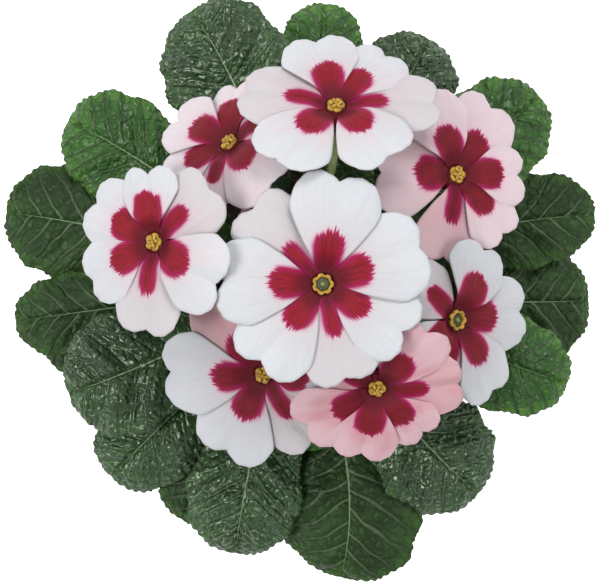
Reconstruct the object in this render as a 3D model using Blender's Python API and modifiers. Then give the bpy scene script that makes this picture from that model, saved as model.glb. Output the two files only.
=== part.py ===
"""A potted primrose: a rosette of puckered leaves and eight star-marked blooms in a plain nursery pot.

Metres, +Z up. The origin is the centre of the pot's flat underside.
"""

import math
from collections import namedtuple

import bmesh
import bpy
import numpy as np
from mathutils import Matrix, Vector

GAP = 0.0003
CUTTER_OVERRUN = 0.002

POT_HEIGHT = 0.085
POT_RIM_RADIUS = 0.050
POT_RIM_HEIGHT = 0.011
POT_RIM_STEP = 0.0026
POT_FOOT_RADIUS = 0.034
POT_WALL = 0.0016
POT_FLOOR = 0.0022
POT_STEPS = 24
RIM_EASE = 0.0010
FOOT_EASE = 0.0006
DRAIN_HOLES = 4
DRAIN_HOLE_RADIUS = 0.004
DRAIN_RING_RADIUS = 0.022
DRAIN_SIDES = 8

SOIL_TOP = 0.072
SOIL_MOUND = 0.0015

CROWN_RADIUS = 0.018
CROWN_BOTTOM = 0.056
CROWN_TOP = 0.0760
SOCKET_FLOOR = 0.0695

LEAF_RINGS = {"outer": 0.0143, "inner": 0.0093}
LEAF_SOCKET_RADIUS = 0.0022
SOCKET_SIDES = 5
SOCKET_CLEARANCE = 0.0006
FOOT_RISE = 0.001

LEAF_COLUMNS = 8
LEAF_VEINS = 5
COARSE_COLUMNS = 6
COARSE_VEINS = 3
PETIOLE_ROWS = 3
BLADE_THICKNESS = 0.0007
PETIOLE_WIDTH = 0.0022
PETIOLE_THICKNESS = 0.0020
PETIOLE_SHARE = 0.20
BLADE_TAPER = 2.0
LEAF_SPINE_STEPS = 80
RISE_REACH = 0.06
ARCH_REACH = 0.52
VEIN_SLANT = 1.7
CRENATION = 0.065
BLADE_RISE = 0.10
BLADE_FALL = 0.30
MARGIN_WAVE = 0.0009
MARGIN_WAVES = 9
MIDRIB_DEPTH = 0.0004
MIDRIB_SHARE = 0.9
MIDRIB_REACH = 0.25
TIP_DROOP = 0.10
LEAF_LEVEL = 0.0050
LEVEL_RISE = 0.0020
LEVEL_ARCH = 0.0055

PETAL_COLUMNS = 4
PETAL_ROWS = 3
PETAL_THICKNESS = 0.00065
PETAL_ROOT = 0.0034
PETAL_LEVEL = 0.0010
PETAL_NOTCH = 0.085
PETAL_SHOULDER = 0.17
PETAL_DROOP = 0.0016
PETAL_CURL = 0.0010
PETAL_RUFFLE = 0.0002
TUBE_LENGTH = 0.0150
TUBE_RADIUS = 0.0018
TUBE_STEPS = 8
THROAT_RADIUS = 0.0043
THROAT_FLOOR = -0.0012
THROAT_DROP = 0.0019
EYE_RADIUS = 0.0030
EYE_LOBES = 5
EYE_WAIST = 0.80
CALYX_HEIGHT = 0.0085
CALYX_BASE = 0.0020
CALYX_TEETH = 5
CALYX_TOOTH = 0.0014
CALYX_FLARE = 0.10
STALK_UPRIGHT = 0.82
STALK_NECK = 0.012
STALK_STEPS = 4

LEAF_DARK = (0.030, 0.072, 0.026, 1)
LEAF_MID = (0.060, 0.125, 0.040, 1)
STALK_GREEN = (0.16, 0.26, 0.07, 1)
PETAL_WHITE = (0.86, 0.83, 0.86, 1)
PETAL_BLUSH = (0.80, 0.66, 0.72, 1)
PETAL_PINK = (0.72, 0.42, 0.50, 1)
EYE_GOLD = (0.62, 0.40, 0.07, 1)
POT_BROWN = (0.12, 0.055, 0.035, 1)
SOIL_BROWN = (0.035, 0.022, 0.014, 1)
CROWN_GREEN = (0.12, 0.13, 0.05, 1)

# tip: where the leaf ends in plan. bow: how far the midrib swings to the right of a straight run.
# level: its place in the pile of leaves, 0 lowest. roll: tilt about the midrib, in degrees.
# relief: height of the puckers. light: True for the lighter green.
Leaf = namedtuple("Leaf", "name ring bearing tip half_width level bow roll relief light")
LEAVES = (
    Leaf("leaf_01", "inner", 112, (-0.0322, 0.0817), 0.0185, 2.3, 0.010, 0, 0.0015, False),
    Leaf("leaf_02", "outer", 85, (0.0077, 0.0849), 0.0130, 0.0, 0.000, 0, 0.0008, True),
    Leaf("leaf_03", "outer", 63, (0.0380, 0.0742), 0.0150, 1.0, 0.000, 0, 0.0013, False),
    Leaf("leaf_04", "inner", 39, (0.0700, 0.0563), 0.0155, 3.0, 0.000, 0, 0.0010, True),
    Leaf("leaf_05", "inner", 8, (0.0864, 0.0217), 0.0135, 2.0, -0.010, 0, 0.0007, False),
    Leaf("leaf_06", "outer", -2, (0.0853, -0.0030), 0.0172, 1.0, 0.003, 0, 0.0009, False),
    Leaf("leaf_07", "inner", -20, (0.0779, -0.0274), 0.0140, 3.0, 0.000, 0, 0.0008, True),
    Leaf("leaf_08", "inner", -48, (0.0525, -0.0598), 0.0170, 2.0, 0.005, 0, 0.0012, False),
    Leaf("leaf_09", "outer", -80, (0.0117, -0.0850), 0.0205, 1.0, -0.014, 0, 0.0008, False),
    Leaf("leaf_10", "inner", 252, (-0.0189, -0.0774), 0.0165, 2.0, 0.004, 0, 0.0015, False),
    Leaf("leaf_11", "outer", 245, (-0.0352, -0.0682), 0.0125, 0.0, 0.000, 0, 0.0005, False),
    Leaf("leaf_12", "outer", 224, (-0.0561, -0.0550), 0.0145, 0.8, 0.000, 0, 0.0012, False),
    Leaf("leaf_13", "inner", 204, (-0.0680, -0.0304), 0.0175, 2.4, -0.003, 0, 0.0015, False),
    Leaf("leaf_14", "outer", 199, (-0.0764, -0.0162), 0.0125, -0.6, 0.000, 0, 0.0005, False),
    Leaf("leaf_15", "outer", 179, (-0.0842, -0.0091), 0.0120, 0.4, 0.000, 6, 0.0008, False),
    Leaf("leaf_16", "outer", 159, (-0.0874, 0.0229), 0.0165, -0.2, 0.005, 0, 0.0006, False),
    Leaf("leaf_17", "outer", 138, (-0.0685, 0.0498), 0.0155, 1.2, 0.006, 0, 0.0013, True),
    Leaf("young_leaf_1", "inner", 75, (0.0150, 0.0420), 0.0100, 3.0, 0.000, 0, 0.0008, True),
    Leaf("young_leaf_2", "inner", 160, (-0.0400, 0.0190), 0.0100, 3.0, 0.000, 0, 0.0008, True),
    Leaf("young_leaf_3", "inner", -78, (0.0060, -0.0470), 0.0110, 3.0, 0.000, 0, 0.0008, True),
)
# The low and the young leaves show least, so their blades are split more coarsely.
COARSE_LEAVES = ("leaf_02", "leaf_11", "leaf_12", "leaf_14", "young_leaf_1", "young_leaf_2",
                 "young_leaf_3")
CREST = {"rise": 0.085, "arch": 0.099, "tip": 0.086}

# angle: direction in the bloom's own plane, 0 towards +X. spread: half its width, as an angle.
# level: its place in the bloom, 0 undermost. All angles are in degrees.
Petal = namedtuple("Petal", "angle length spread level")
Bloom = namedtuple("Bloom", "centre lean towards socket colour petals")
BLOOMS = (
    Bloom((0.0062, 0.0016, 0.1520), 0, 0, 205, PETAL_WHITE, (
        Petal(81, 0.0306, 32, 3), Petal(21, 0.0298, 33, 2), Petal(-31, 0.0279, 31, 1),
        Petal(-76, 0.0279, 30, 0), Petal(231, 0.0293, 31, 1), Petal(178, 0.0293, 32, 2),
        Petal(133, 0.0297, 27, 0))),
    Bloom((0.0098, 0.0510, 0.1430), 40, 90, 75, PETAL_WHITE, (
        Petal(103, 0.0261, 33, 2), Petal(53, 0.0251, 31, 1), Petal(5, 0.0288, 30, 0),
        Petal(-54, 0.0256, 34, 2), Petal(230, 0.0269, 35, 1), Petal(165, 0.0271, 33, 0))),
    Bloom((-0.0201, 0.0415, 0.1300), 45, 135, 120, PETAL_BLUSH, (
        Petal(92, 0.0205, 34, 1), Petal(26, 0.0210, 33, 0), Petal(-45, 0.0261, 36, 1),
        Petal(258, 0.0205, 30, 0), Petal(205, 0.0220, 32, 1), Petal(150, 0.0241, 32, 2))),
    Bloom((-0.0403, 0.0131, 0.1450), 28, 180, 165, PETAL_WHITE, (
        Petal(150, 0.0234, 34, 1), Petal(93, 0.0210, 33, 2), Petal(40, 0.0238, 33, 0),
        Petal(-30, 0.0257, 36, 2), Petal(262, 0.0258, 32, 0), Petal(208, 0.0237, 31, 1))),
    Bloom((0.0443, 0.0324, 0.1280), 30, 20, 30, PETAL_BLUSH, (
        Petal(114, 0.0244, 34, 2), Petal(58, 0.0256, 33, 1), Petal(2, 0.0217, 33, 2),
        Petal(-49, 0.0230, 31, 1), Petal(-101, 0.0257, 31, -1), Petal(182, 0.0269, 37, 0))),
    Bloom((0.0438, -0.0084, 0.1315), 38, 358, 338, PETAL_WHITE, (
        Petal(68, 0.0228, 36, 3), Petal(5, 0.0261, 32, 1), Petal(-57, 0.0252, 30, 2),
        Petal(-104, 0.0223, 30, 0), Petal(214, 0.0154, 32, 1), Petal(140, 0.0195, 36, 0))),
    Bloom((-0.0104, -0.0239, 0.1290), 25, 225, 245, PETAL_WHITE, (
        Petal(181, 0.0297, 33, 2), Petal(242, 0.0287, 33, 1), Petal(-57, 0.0251, 33, 0),
        Petal(5, 0.0231, 32, 1), Petal(61, 0.0200, 30, 0), Petal(124, 0.0269, 32, 1))),
    Bloom((0.0212, -0.0275, 0.1388), 30, 270, 298, PETAL_PINK, (
        Petal(54, 0.0246, 33, 1), Petal(2, 0.0240, 33, 0), Petal(-48, 0.0210, 31, 1),
        Petal(-101, 0.0231, 32, 2), Petal(212, 0.0250, 33, 1), Petal(146, 0.0195, 33, 0))),
)
Bud = namedtuple("Bud", "centre lean towards socket")
BUDS = (
    Bud((0.0180, 0.0250, 0.1270), 20, 58, 0),
    Bud((-0.0155, 0.0215, 0.1270), 20, 126, 180),
)
BUD_LENGTH = 0.015
BUD_RADIUS = 0.0026
BUD_STEPS = 10
BUD_TWIST = 0.9
BUD_RIDGE = 0.09
BUD_RIDGES = 5

# ring: how far out in the crown it stands. cup: the calyx's radius. tube: what the calyx holds.
StalkForm = namedtuple("StalkForm", "ring radius cup tube_radius tube_length")
BLOOM_STALK = StalkForm(0.0052, 0.0011, 0.0031, TUBE_RADIUS, TUBE_LENGTH)
BUD_STALK = StalkForm(0.0016, 0.0008, 0.0025, 0.55 * BUD_RADIUS, BUD_LENGTH)


def clear_scene():
    for obj in list(bpy.data.objects):
        bpy.data.objects.remove(obj)


def new_collection(name, parent, helper=False):
    collection = bpy.data.collections.new(name)
    parent.children.link(collection)
    collection.hide_render = helper
    return collection


def plain_material(name, colour, roughness, coat=0.0):
    material = bpy.data.materials.new(name)
    material.use_nodes = True
    shader = material.node_tree.nodes["Principled BSDF"]
    shader.inputs["Base Color"].default_value = colour
    shader.inputs["Roughness"].default_value = roughness
    shader.inputs["Metallic"].default_value = 0.0
    shader.inputs["Coat Weight"].default_value = coat
    material.diffuse_color = colour
    return material


def smooth_step(low, high, value):
    t = min(1.0, max(0.0, (value - low) / (high - low)))
    return t * t * (3 - 2 * t)


def polar(radius, degrees, height=0.0):
    angle = math.radians(degrees)
    return Vector((radius * math.cos(angle), radius * math.sin(angle), height))


def object_from_bmesh(name, bm, collection, material=None):
    mesh = bpy.data.meshes.new(name)
    bm.to_mesh(mesh)
    bm.free()
    obj = bpy.data.objects.new(name, mesh)
    collection.objects.link(obj)
    if material:
        mesh.materials.append(material)
    return obj


def finished_mesh(obj):
    """The object's mesh with its modifiers worked in."""
    bpy.context.view_layer.update()
    graph = bpy.context.evaluated_depsgraph_get()
    return bpy.data.meshes.new_from_object(obj.evaluated_get(graph), depsgraph=graph)


def apply_modifiers(obj):
    mesh = finished_mesh(obj)
    obj.modifiers.clear()
    obj.data = mesh


def shade_soft(obj, degrees=50):
    obj.data.shade_smooth()
    obj.data.set_sharp_from_angle(angle=math.radians(degrees))


def turned(name, profile, steps, collection, material=None):
    """A solid of revolution about Z. The profile runs down the outer side, as (radius, height) pairs."""
    bm = bmesh.new()
    points = [bm.verts.new((radius, 0, height)) for radius, height in profile]
    for first, second in zip(points, points[1:]):
        bm.edges.new((first, second))
    obj = object_from_bmesh(name, bm, collection, material)
    screw = obj.modifiers.new("turn", "SCREW")
    screw.steps = screw.render_steps = steps
    screw.use_merge_vertices = True
    screw.merge_threshold = 0.00001
    apply_modifiers(obj)
    return obj


def drop_scraps(obj):
    """Keeps the largest connected piece of the mesh."""
    bm = bmesh.new()
    bm.from_mesh(obj.data)
    left = set(bm.verts)
    pieces = []
    while left:
        piece, frontier = set(), [left.pop()]
        while frontier:
            vert = frontier.pop()
            piece.add(vert)
            fresh = {edge.other_vert(vert) for edge in vert.link_edges} & left
            left -= fresh
            frontier.extend(fresh)
        pieces.append(piece)
    pieces.sort(key=len)
    for piece in pieces[:-1]:
        bmesh.ops.delete(bm, geom=list(piece), context="VERTS")
    bm.to_mesh(obj.data)
    bm.free()


def boolean(obj, operation, collection, solver="EXACT"):
    """Joins or cuts with every object of the collection, then removes them."""
    modifier = obj.modifiers.new(operation.lower(), "BOOLEAN")
    modifier.operation = operation
    modifier.operand_type = "COLLECTION"
    modifier.collection = collection
    modifier.solver = solver
    apply_modifiers(obj)
    for helper in list(collection.objects):
        bpy.data.objects.remove(helper)
    drop_scraps(obj)


def peg(name, centre, radius, bottom, top, sides, collection):
    """An upright round cutter."""
    bm = bmesh.new()
    bmesh.ops.create_cone(
        bm, cap_ends=True, segments=sides, radius1=radius, radius2=radius, depth=top - bottom
    )
    bmesh.ops.translate(bm, verts=bm.verts, vec=(centre.x, centre.y, (top + bottom) / 2))
    obj = object_from_bmesh(name, bm, collection)
    obj.display_type = "WIRE"
    obj.hide_render = True
    return obj


def sheet(name, columns, rows, place, thickness, offset, collection, material=None):
    """A waved blade from a grid: place(u, v) gives a point and its share of the full thickness."""
    bm = bmesh.new()
    bmesh.ops.create_grid(bm, x_segments=columns, y_segments=rows, size=1.0)
    shares = bm.verts.layers.deform.verify()
    for vert in bm.verts:
        point, share = place(vert.co.x, (vert.co.y + 1) / 2)
        vert.co = point
        vert[shares][0] = share
    bmesh.ops.remove_doubles(bm, verts=bm.verts, dist=0.00002)
    bmesh.ops.triangulate(bm, faces=bm.faces, quad_method="FIXED")
    obj = object_from_bmesh(name, bm, collection, material)
    obj.vertex_groups.new(name="thickness")
    solidify = obj.modifiers.new("thickness", "SOLIDIFY")
    solidify.thickness = thickness
    solidify.offset = offset
    solidify.vertex_group = "thickness"
    apply_modifiers(obj)
    return obj


def pot_profile():
    """Down the outer side from the lip, across the foot, and back up the inner side."""
    body_radius = POT_RIM_RADIUS - POT_RIM_STEP
    rim_bottom = POT_HEIGHT - POT_RIM_HEIGHT
    inner_top = POT_RIM_RADIUS - POT_WALL
    inner_step = body_radius - POT_WALL
    return (
        (inner_top, POT_HEIGHT),
        (POT_RIM_RADIUS - RIM_EASE / 2, POT_HEIGHT),
        (POT_RIM_RADIUS, POT_HEIGHT - RIM_EASE),
        (POT_RIM_RADIUS - RIM_EASE / 2, rim_bottom),
        (body_radius, rim_bottom),
        (POT_FOOT_RADIUS + FOOT_EASE, FOOT_EASE),
        (POT_FOOT_RADIUS, 0.0),
        (0.0, 0.0),
        (0.0, POT_FLOOR),
        (POT_FOOT_RADIUS - POT_WALL, POT_FLOOR),
        (inner_step, rim_bottom + RIM_EASE),
        (inner_top, rim_bottom + 3 * RIM_EASE),
        (inner_top, POT_HEIGHT),
    )


def pot_inner_radius(height):
    """The radius of the pot's inner wall below the rim's step."""
    bottom = POT_FOOT_RADIUS - POT_WALL
    top = POT_RIM_RADIUS - POT_RIM_STEP - POT_WALL
    share = (height - POT_FLOOR) / (POT_HEIGHT - POT_RIM_HEIGHT + RIM_EASE - POT_FLOOR)
    return bottom + (top - bottom) * share


def build_pot(collection, cutters):
    material = plain_material("pot_plastic", POT_BROWN, 0.45)
    pot = turned("pot", pot_profile(), POT_STEPS, collection, material)
    for index in range(DRAIN_HOLES):
        centre = polar(DRAIN_RING_RADIUS, 45 + index * 360 / DRAIN_HOLES)
        top = POT_FLOOR + CUTTER_OVERRUN
        peg("drain", centre, DRAIN_HOLE_RADIUS, -CUTTER_OVERRUN, top, DRAIN_SIDES, cutters)
    boolean(pot, "DIFFERENCE", cutters)
    shade_soft(pot, 30)


def build_soil(collection):
    material = plain_material("peat", SOIL_BROWN, 0.95)
    bottom = POT_FLOOR + GAP
    hole = CROWN_RADIUS + GAP
    hole_floor = CROWN_BOTTOM - GAP
    edge_top = SOIL_TOP - SOIL_MOUND
    profile = (
        (0.0, hole_floor),
        (hole, hole_floor),
        (hole, SOIL_TOP),
        ((hole + pot_inner_radius(edge_top)) / 2, SOIL_TOP - SOIL_MOUND / 3),
        (pot_inner_radius(edge_top) - GAP * 1.5, edge_top),
        (pot_inner_radius(bottom) - GAP * 1.5, bottom),
        (0.0, bottom),
    )
    soil = turned("soil", profile, POT_STEPS, collection, material)
    shade_soft(soil, 35)


def build_crown(collection, cutters):
    """The rootstock: a low knob with one plain socket for each stalk."""
    material = plain_material("crown", CROWN_GREEN, 0.8)
    profile = (
        (0.0, CROWN_TOP),
        (0.55 * CROWN_RADIUS, CROWN_TOP - 0.0003),
        (0.92 * CROWN_RADIUS, CROWN_TOP - 0.0016),
        (CROWN_RADIUS, CROWN_TOP - 0.0036),
        (CROWN_RADIUS, CROWN_BOTTOM),
        (0.0, CROWN_BOTTOM),
    )
    crown = turned("crown", profile, POT_STEPS, collection, material)
    sockets = [(LEAF_RINGS[leaf.ring], leaf.bearing, LEAF_SOCKET_RADIUS) for leaf in LEAVES]
    for flowers, form in ((BLOOMS, BLOOM_STALK), (BUDS, BUD_STALK)):
        radius = form.radius + SOCKET_CLEARANCE
        sockets += [(form.ring, flower.socket, radius) for flower in flowers]
    bottom = SOCKET_FLOOR - GAP
    top = CROWN_TOP + CUTTER_OVERRUN
    for ring, bearing, radius in sockets:
        peg("socket", polar(ring, bearing), radius, bottom, top, SOCKET_SIDES, cutters)
    boolean(crown, "DIFFERENCE", cutters)
    shade_soft(crown, 35)


def cubic(points, t):
    """A point on a cubic curve."""
    a, b, c, d = points
    s = 1 - t
    return a * s**3 + b * (3 * s * s * t) + c * (3 * s * t * t) + d * t**3


class Spine:
    """A leaf's midrib: upright in its socket, then arching out and over to the tip."""

    def __init__(self, leaf):
        self.roll = math.radians(leaf.roll)
        foot = polar(LEAF_RINGS[leaf.ring], leaf.bearing, CROWN_TOP + FOOT_RISE)
        tip = Vector((*leaf.tip, CREST["tip"] + leaf.level * LEAF_LEVEL))
        way = Vector((tip.x - foot.x, tip.y - foot.y, 0))
        right = Vector((way.y, -way.x, 0)).normalized()
        rise = foot + RISE_REACH * way
        rise.z = CREST["rise"] + leaf.level * LEVEL_RISE
        arch = foot + ARCH_REACH * way + leaf.bow * right
        arch.z = CREST["arch"] + leaf.level * LEVEL_ARCH
        self.socket = Vector((foot.x, foot.y, SOCKET_FLOOR))
        controls = (foot, rise, arch, tip)
        steps = range(LEAF_SPINE_STEPS + 1)
        self.points = [cubic(controls, step / LEAF_SPINE_STEPS) for step in steps]
        lengths = [(b - a).length for a, b in zip(self.points, self.points[1:])]
        self.along = np.concatenate([[0.0], np.cumsum(lengths)])
        self.length = float(self.along[-1])

    def at(self, share):
        """The point at this share of the length, with its sideways and upward directions."""
        reach = share * self.length
        index = int(np.clip(np.searchsorted(self.along, reach) - 1, 0, LEAF_SPINE_STEPS - 1))
        first, second = self.points[index], self.points[index + 1]
        part = (reach - self.along[index]) / (self.along[index + 1] - self.along[index])
        point = first.lerp(second, float(part))
        before = self.points[max(index - 1, 0)]
        after = self.points[min(index + 2, LEAF_SPINE_STEPS)]
        tangent = (after - before).normalized()
        side = Vector((tangent.y, -tangent.x, 0)).normalized()
        side = Matrix.Rotation(self.roll * share, 3, tangent) @ side
        return point, side, side.cross(tangent)


def blade_half_width(leaf, share):
    """Half the blade's width: a narrow wedge that broadens to a round end."""
    share = min(share, 1.0)
    power = 0.5 - 0.1 * share**2
    round_part = leaf.half_width * max(0.0, math.sin(math.pi * share**BLADE_TAPER)) ** power
    return math.hypot(round_part, 0.5 * PETIOLE_WIDTH * (1 - share))


def leaf_place(leaf, spine, veins, rows):
    """The blade's surface. u runs across from -1 to 1 and v from the socket to the tip."""

    def petiole(u, row):
        cross = math.copysign(1.0, u) if abs(u) > 0.6 else 0.0
        share = (row - 1) / (PETIOLE_ROWS - 1) * PETIOLE_SHARE
        point, side, up = spine.at(max(share, 0.0))
        if row < 0.5:
            point = spine.socket
        lift = 0.5 * PETIOLE_THICKNESS * (1 - smooth_step(0.4, 1.3, row / PETIOLE_ROWS))
        return point + side * (cross * PETIOLE_WIDTH / 2) + up * lift, 1.0

    def blade(u, v):
        across = abs(u)
        edge = 1 - (1 - v) ** VEIN_SLANT
        share = v + (edge - v) * across
        pucker = -math.cos(2 * math.pi * veins * v)
        half_width = blade_half_width(leaf, edge) * (1 + CRENATION * pucker * across**4)
        size = half_width / leaf.half_width
        middle = 1 - min(1.0, across / MIDRIB_REACH)
        wave = math.sin(MARGIN_WAVES * v + leaf.bearing + (2 if u > 0 else 0))
        height = leaf.relief * pucker * math.sin(math.pi * min(across, 0.92)) * size
        height += half_width * (BLADE_RISE * across - BLADE_FALL * across**2)
        height += MARGIN_WAVE * size * across**3 * wave
        height -= MIDRIB_DEPTH * middle + TIP_DROOP * leaf.half_width * v**6
        total = PETIOLE_SHARE + (1 - PETIOLE_SHARE) * share
        point, side, up = spine.at(min(total, 1.0))
        blade_share = BLADE_THICKNESS / PETIOLE_THICKNESS
        rib = (MIDRIB_SHARE - blade_share) * middle * (1 - v) ** 0.7
        return point + side * u * half_width + up * height, blade_share + rib

    def place(u, v):
        row = v * rows
        if row < PETIOLE_ROWS + 0.5:
            return petiole(u, row)
        return blade(u, (row - PETIOLE_ROWS) / (rows - PETIOLE_ROWS))

    return place


def build_leaf(leaf, collection):
    colour = LEAF_MID if leaf.light else LEAF_DARK
    material = plain_material(leaf.name, colour, 0.42, coat=0.15)
    coarse = leaf.name in COARSE_LEAVES
    columns = COARSE_COLUMNS if coarse else LEAF_COLUMNS
    veins = COARSE_VEINS if coarse else LEAF_VEINS
    rows = PETIOLE_ROWS + 2 * veins
    place = leaf_place(leaf, Spine(leaf), veins, rows)
    obj = sheet(leaf.name, columns, rows, place, PETIOLE_THICKNESS, -1, collection, material)
    shade_soft(obj, 60)


def petal_place(petal):
    """A heart-shaped petal in the bloom's own plane, notched at its end."""

    def place(u, v):
        if v < 0.01:
            u = round(u / 1.5)
        across = abs(u)
        widening = 0.90 + 0.17 * smooth_step(0.0, 0.4, v) - 0.08 * v**2
        spread = math.radians(petal.spread) * widening
        angle = math.radians(petal.angle) - u * spread
        notch = PETAL_NOTCH * max(0.0, 1 - 2.4 * across) + PETAL_SHOULDER * across**4
        reach = PETAL_ROOT + (petal.length * (1 - notch * v**3) - PETAL_ROOT) * v
        rise = petal.level * PETAL_LEVEL * smooth_step(0.0, 0.35, v)
        throat = -THROAT_DROP * (1 - smooth_step(0.0, 0.25, v))
        droop = -PETAL_DROOP * v**3 - PETAL_CURL * across**2 * v
        ruffle = PETAL_RUFFLE * v**2 * math.sin(4.2 * u + math.radians(3 * petal.angle))
        point = Vector((reach * math.cos(angle), reach * math.sin(angle), 0))
        point.z = rise + throat + droop + ruffle
        return point, 1.0

    return place


def bloom_matrix(bloom):
    """Turns the bloom from face up to its own lean, and puts its eye in place."""
    away = math.radians(bloom.towards)
    axis = Vector((-math.sin(away), math.cos(away), 0))
    return Matrix.Translation(bloom.centre) @ Matrix.Rotation(math.radians(bloom.lean), 4, axis)


def set_in_place(obj, matrix):
    obj.data.transform(matrix)
    obj.data.update()


def build_corolla(name, bloom, collection, repeats):
    """The tube with its throat and every petal, grown together."""
    material = plain_material(name, bloom.colour, 0.6)
    profile = (
        (0.0, THROAT_FLOOR),
        (THROAT_RADIUS - 0.0010, THROAT_FLOOR),
        (THROAT_RADIUS + 0.0002, -0.0004),
        (0.0030, -0.0036),
        (TUBE_RADIUS, -0.0065),
        (TUBE_RADIUS, -TUBE_LENGTH),
        (0.0, -TUBE_LENGTH),
    )
    corolla = turned(name, profile, TUBE_STEPS, collection, material)
    for petal in bloom.petals:
        sheet("petal", PETAL_COLUMNS, PETAL_ROWS, petal_place(petal), PETAL_THICKNESS, 0, repeats)
    boolean(corolla, "UNION", repeats)
    set_in_place(corolla, bloom_matrix(bloom))
    shade_soft(corolla, 50)


def build_eye(name, bloom, collection):
    """The lobed yellow eye with the round stigma in its middle."""
    material = plain_material(name, EYE_GOLD, 0.5)
    floor = THROAT_FLOOR + GAP
    profile = (
        (0.0, 0.0006),
        (0.0008, 0.0003),
        (0.0012, -0.0003),
        (0.0021, 0.0008),
        (EYE_RADIUS, floor),
        (0.0, floor),
    )
    eye = turned(name, profile, 2 * EYE_LOBES, collection, material)
    for vert in eye.data.vertices:
        lobe = 0.5 + 0.5 * math.cos(EYE_LOBES * math.atan2(vert.co.y, vert.co.x))
        if vert.co.xy.length > 0.6 * EYE_RADIUS:
            vert.co.xy *= EYE_WAIST + (1 - EYE_WAIST) * lobe
    set_in_place(eye, bloom_matrix(bloom))
    shade_soft(eye, 60)


def calyx(name, form, collection, material):
    """A green cup round the foot of the tube, with teeth at its mouth. The flower's face is at 0."""
    floor = -form.tube_length - GAP
    bottom = -form.tube_length - CALYX_BASE
    mouth = bottom + CALYX_HEIGHT
    inner = form.tube_radius + GAP
    profile = (
        (0.0, floor),
        (inner, floor),
        (inner, mouth),
        (form.cup, mouth),
        (form.cup, bottom + 0.40 * CALYX_HEIGHT),
        (0.0, bottom),
    )
    cup = turned(name, profile, 2 * CALYX_TEETH, collection, material)
    for vert in cup.data.vertices:
        if vert.co.z < mouth - GAP:
            continue
        point = 0.5 + 0.5 * math.cos(CALYX_TEETH * math.atan2(vert.co.y, vert.co.x))
        vert.co.z += (2 * point - 1) * CALYX_TOOTH
        vert.co.xy *= 1 + CALYX_FLARE * point
    return cup


def stalk_tube(name, points, radius, collection):
    """A round stalk along a smooth run, with closed ends."""
    curve = bpy.data.curves.new(name, "CURVE")
    curve.dimensions = "3D"
    curve.bevel_depth = radius
    curve.bevel_resolution = 1
    curve.use_fill_caps = True
    spline = curve.splines.new("POLY")
    spline.points.add(len(points) - 1)
    for knot, point in zip(spline.points, points):
        knot.co = (*point, 1.0)
    guide = bpy.data.objects.new(name, curve)
    collection.objects.link(guide)
    mesh = finished_mesh(guide)
    bpy.data.objects.remove(guide)
    bm = bmesh.new()
    bm.from_mesh(mesh)
    bmesh.ops.remove_doubles(bm, verts=bm.verts, dist=0.00001)
    return object_from_bmesh(name, bm, collection)


def stalk_points(foot, head, axis):
    """Upright out of its socket, then curving over to meet the flower along its axis."""
    rise = Vector((foot.x, foot.y, foot.z + STALK_UPRIGHT * (head.z - foot.z)))
    controls = (foot, rise, head - STALK_NECK * axis, head)
    socket = Vector((foot.x, foot.y, SOCKET_FLOOR))
    return [socket] + [cubic(controls, step / STALK_STEPS) for step in range(STALK_STEPS + 1)]


def build_stalk(name, flower, form, collection, repeats, material):
    """One green piece: the stalk with the calyx that it carries."""
    matrix = bloom_matrix(flower)
    cup = calyx(name, form, collection, material)
    set_in_place(cup, matrix)
    head = matrix @ Vector((0, 0, -form.tube_length - CALYX_BASE / 2))
    axis = (matrix.to_3x3() @ Vector((0, 0, 1))).normalized()
    foot = polar(form.ring, flower.socket, CROWN_TOP + FOOT_RISE)
    stalk_tube("stalk", stalk_points(foot, head, axis), form.radius, repeats)
    boolean(cup, "UNION", repeats)
    shade_soft(cup, 50)


def build_bud_petals(name, bud, collection, material):
    """Petals still rolled into a narrow twisted point."""
    waist = BUD_STALK.tube_radius / 1.1
    profile = (
        (0.0, 0.0),
        (0.55 * BUD_RADIUS, -0.08 * BUD_LENGTH),
        (BUD_RADIUS, -0.26 * BUD_LENGTH),
        (0.80 * BUD_RADIUS, -0.36 * BUD_LENGTH),
        (waist, -0.44 * BUD_LENGTH),
        (waist, -BUD_LENGTH),
        (0.0, -BUD_LENGTH),
    )
    petals = turned(name, profile, BUD_STEPS, collection, material)
    for vert in petals.data.vertices:
        turn = Matrix.Rotation(BUD_TWIST * vert.co.z / BUD_LENGTH, 3, "Z")
        ridge = 1 + BUD_RIDGE * math.cos(BUD_RIDGES * math.atan2(vert.co.y, vert.co.x))
        vert.co = turn @ Vector((vert.co.x * ridge, vert.co.y * ridge, vert.co.z))
    set_in_place(petals, bloom_matrix(bud))
    shade_soft(petals, 60)


def build_blooms(collection, repeats):
    green = plain_material("stalk_green", STALK_GREEN, 0.55)
    for number, bloom in enumerate(BLOOMS, 1):
        build_corolla(f"bloom_{number}_petals", bloom, collection, repeats)
        build_eye(f"bloom_{number}_eye", bloom, collection)
        build_stalk(f"bloom_{number}_stalk", bloom, BLOOM_STALK, collection, repeats, green)
    rose = plain_material("bud_rose", PETAL_PINK, 0.6)
    for number, bud in enumerate(BUDS, 1):
        build_bud_petals(f"bud_{number}_petals", bud, collection, rose)
        build_stalk(f"bud_{number}_stalk", bud, BUD_STALK, collection, repeats, green)


def main():
    clear_scene()
    root = bpy.context.scene.collection
    primrose = new_collection("potted_primrose", root)
    cutters = new_collection("cutters", root, helper=True)
    repeats = new_collection("repeats", root, helper=True)
    build_pot(primrose, cutters)
    build_soil(primrose)
    build_crown(primrose, cutters)
    for leaf in LEAVES:
        build_leaf(leaf, primrose)
    build_blooms(primrose, repeats)


main()
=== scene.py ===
"""A potted primrose in place of its plain solids: puckered leaves, star-marked blooms, buds and pot.

Metres, +Z up. The origin is the centre of the pot's flat underside.
"""

import math
import random
from collections import namedtuple

import bmesh
import bpy
import numpy as np
from mathutils import Matrix, Vector, noise


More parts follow.
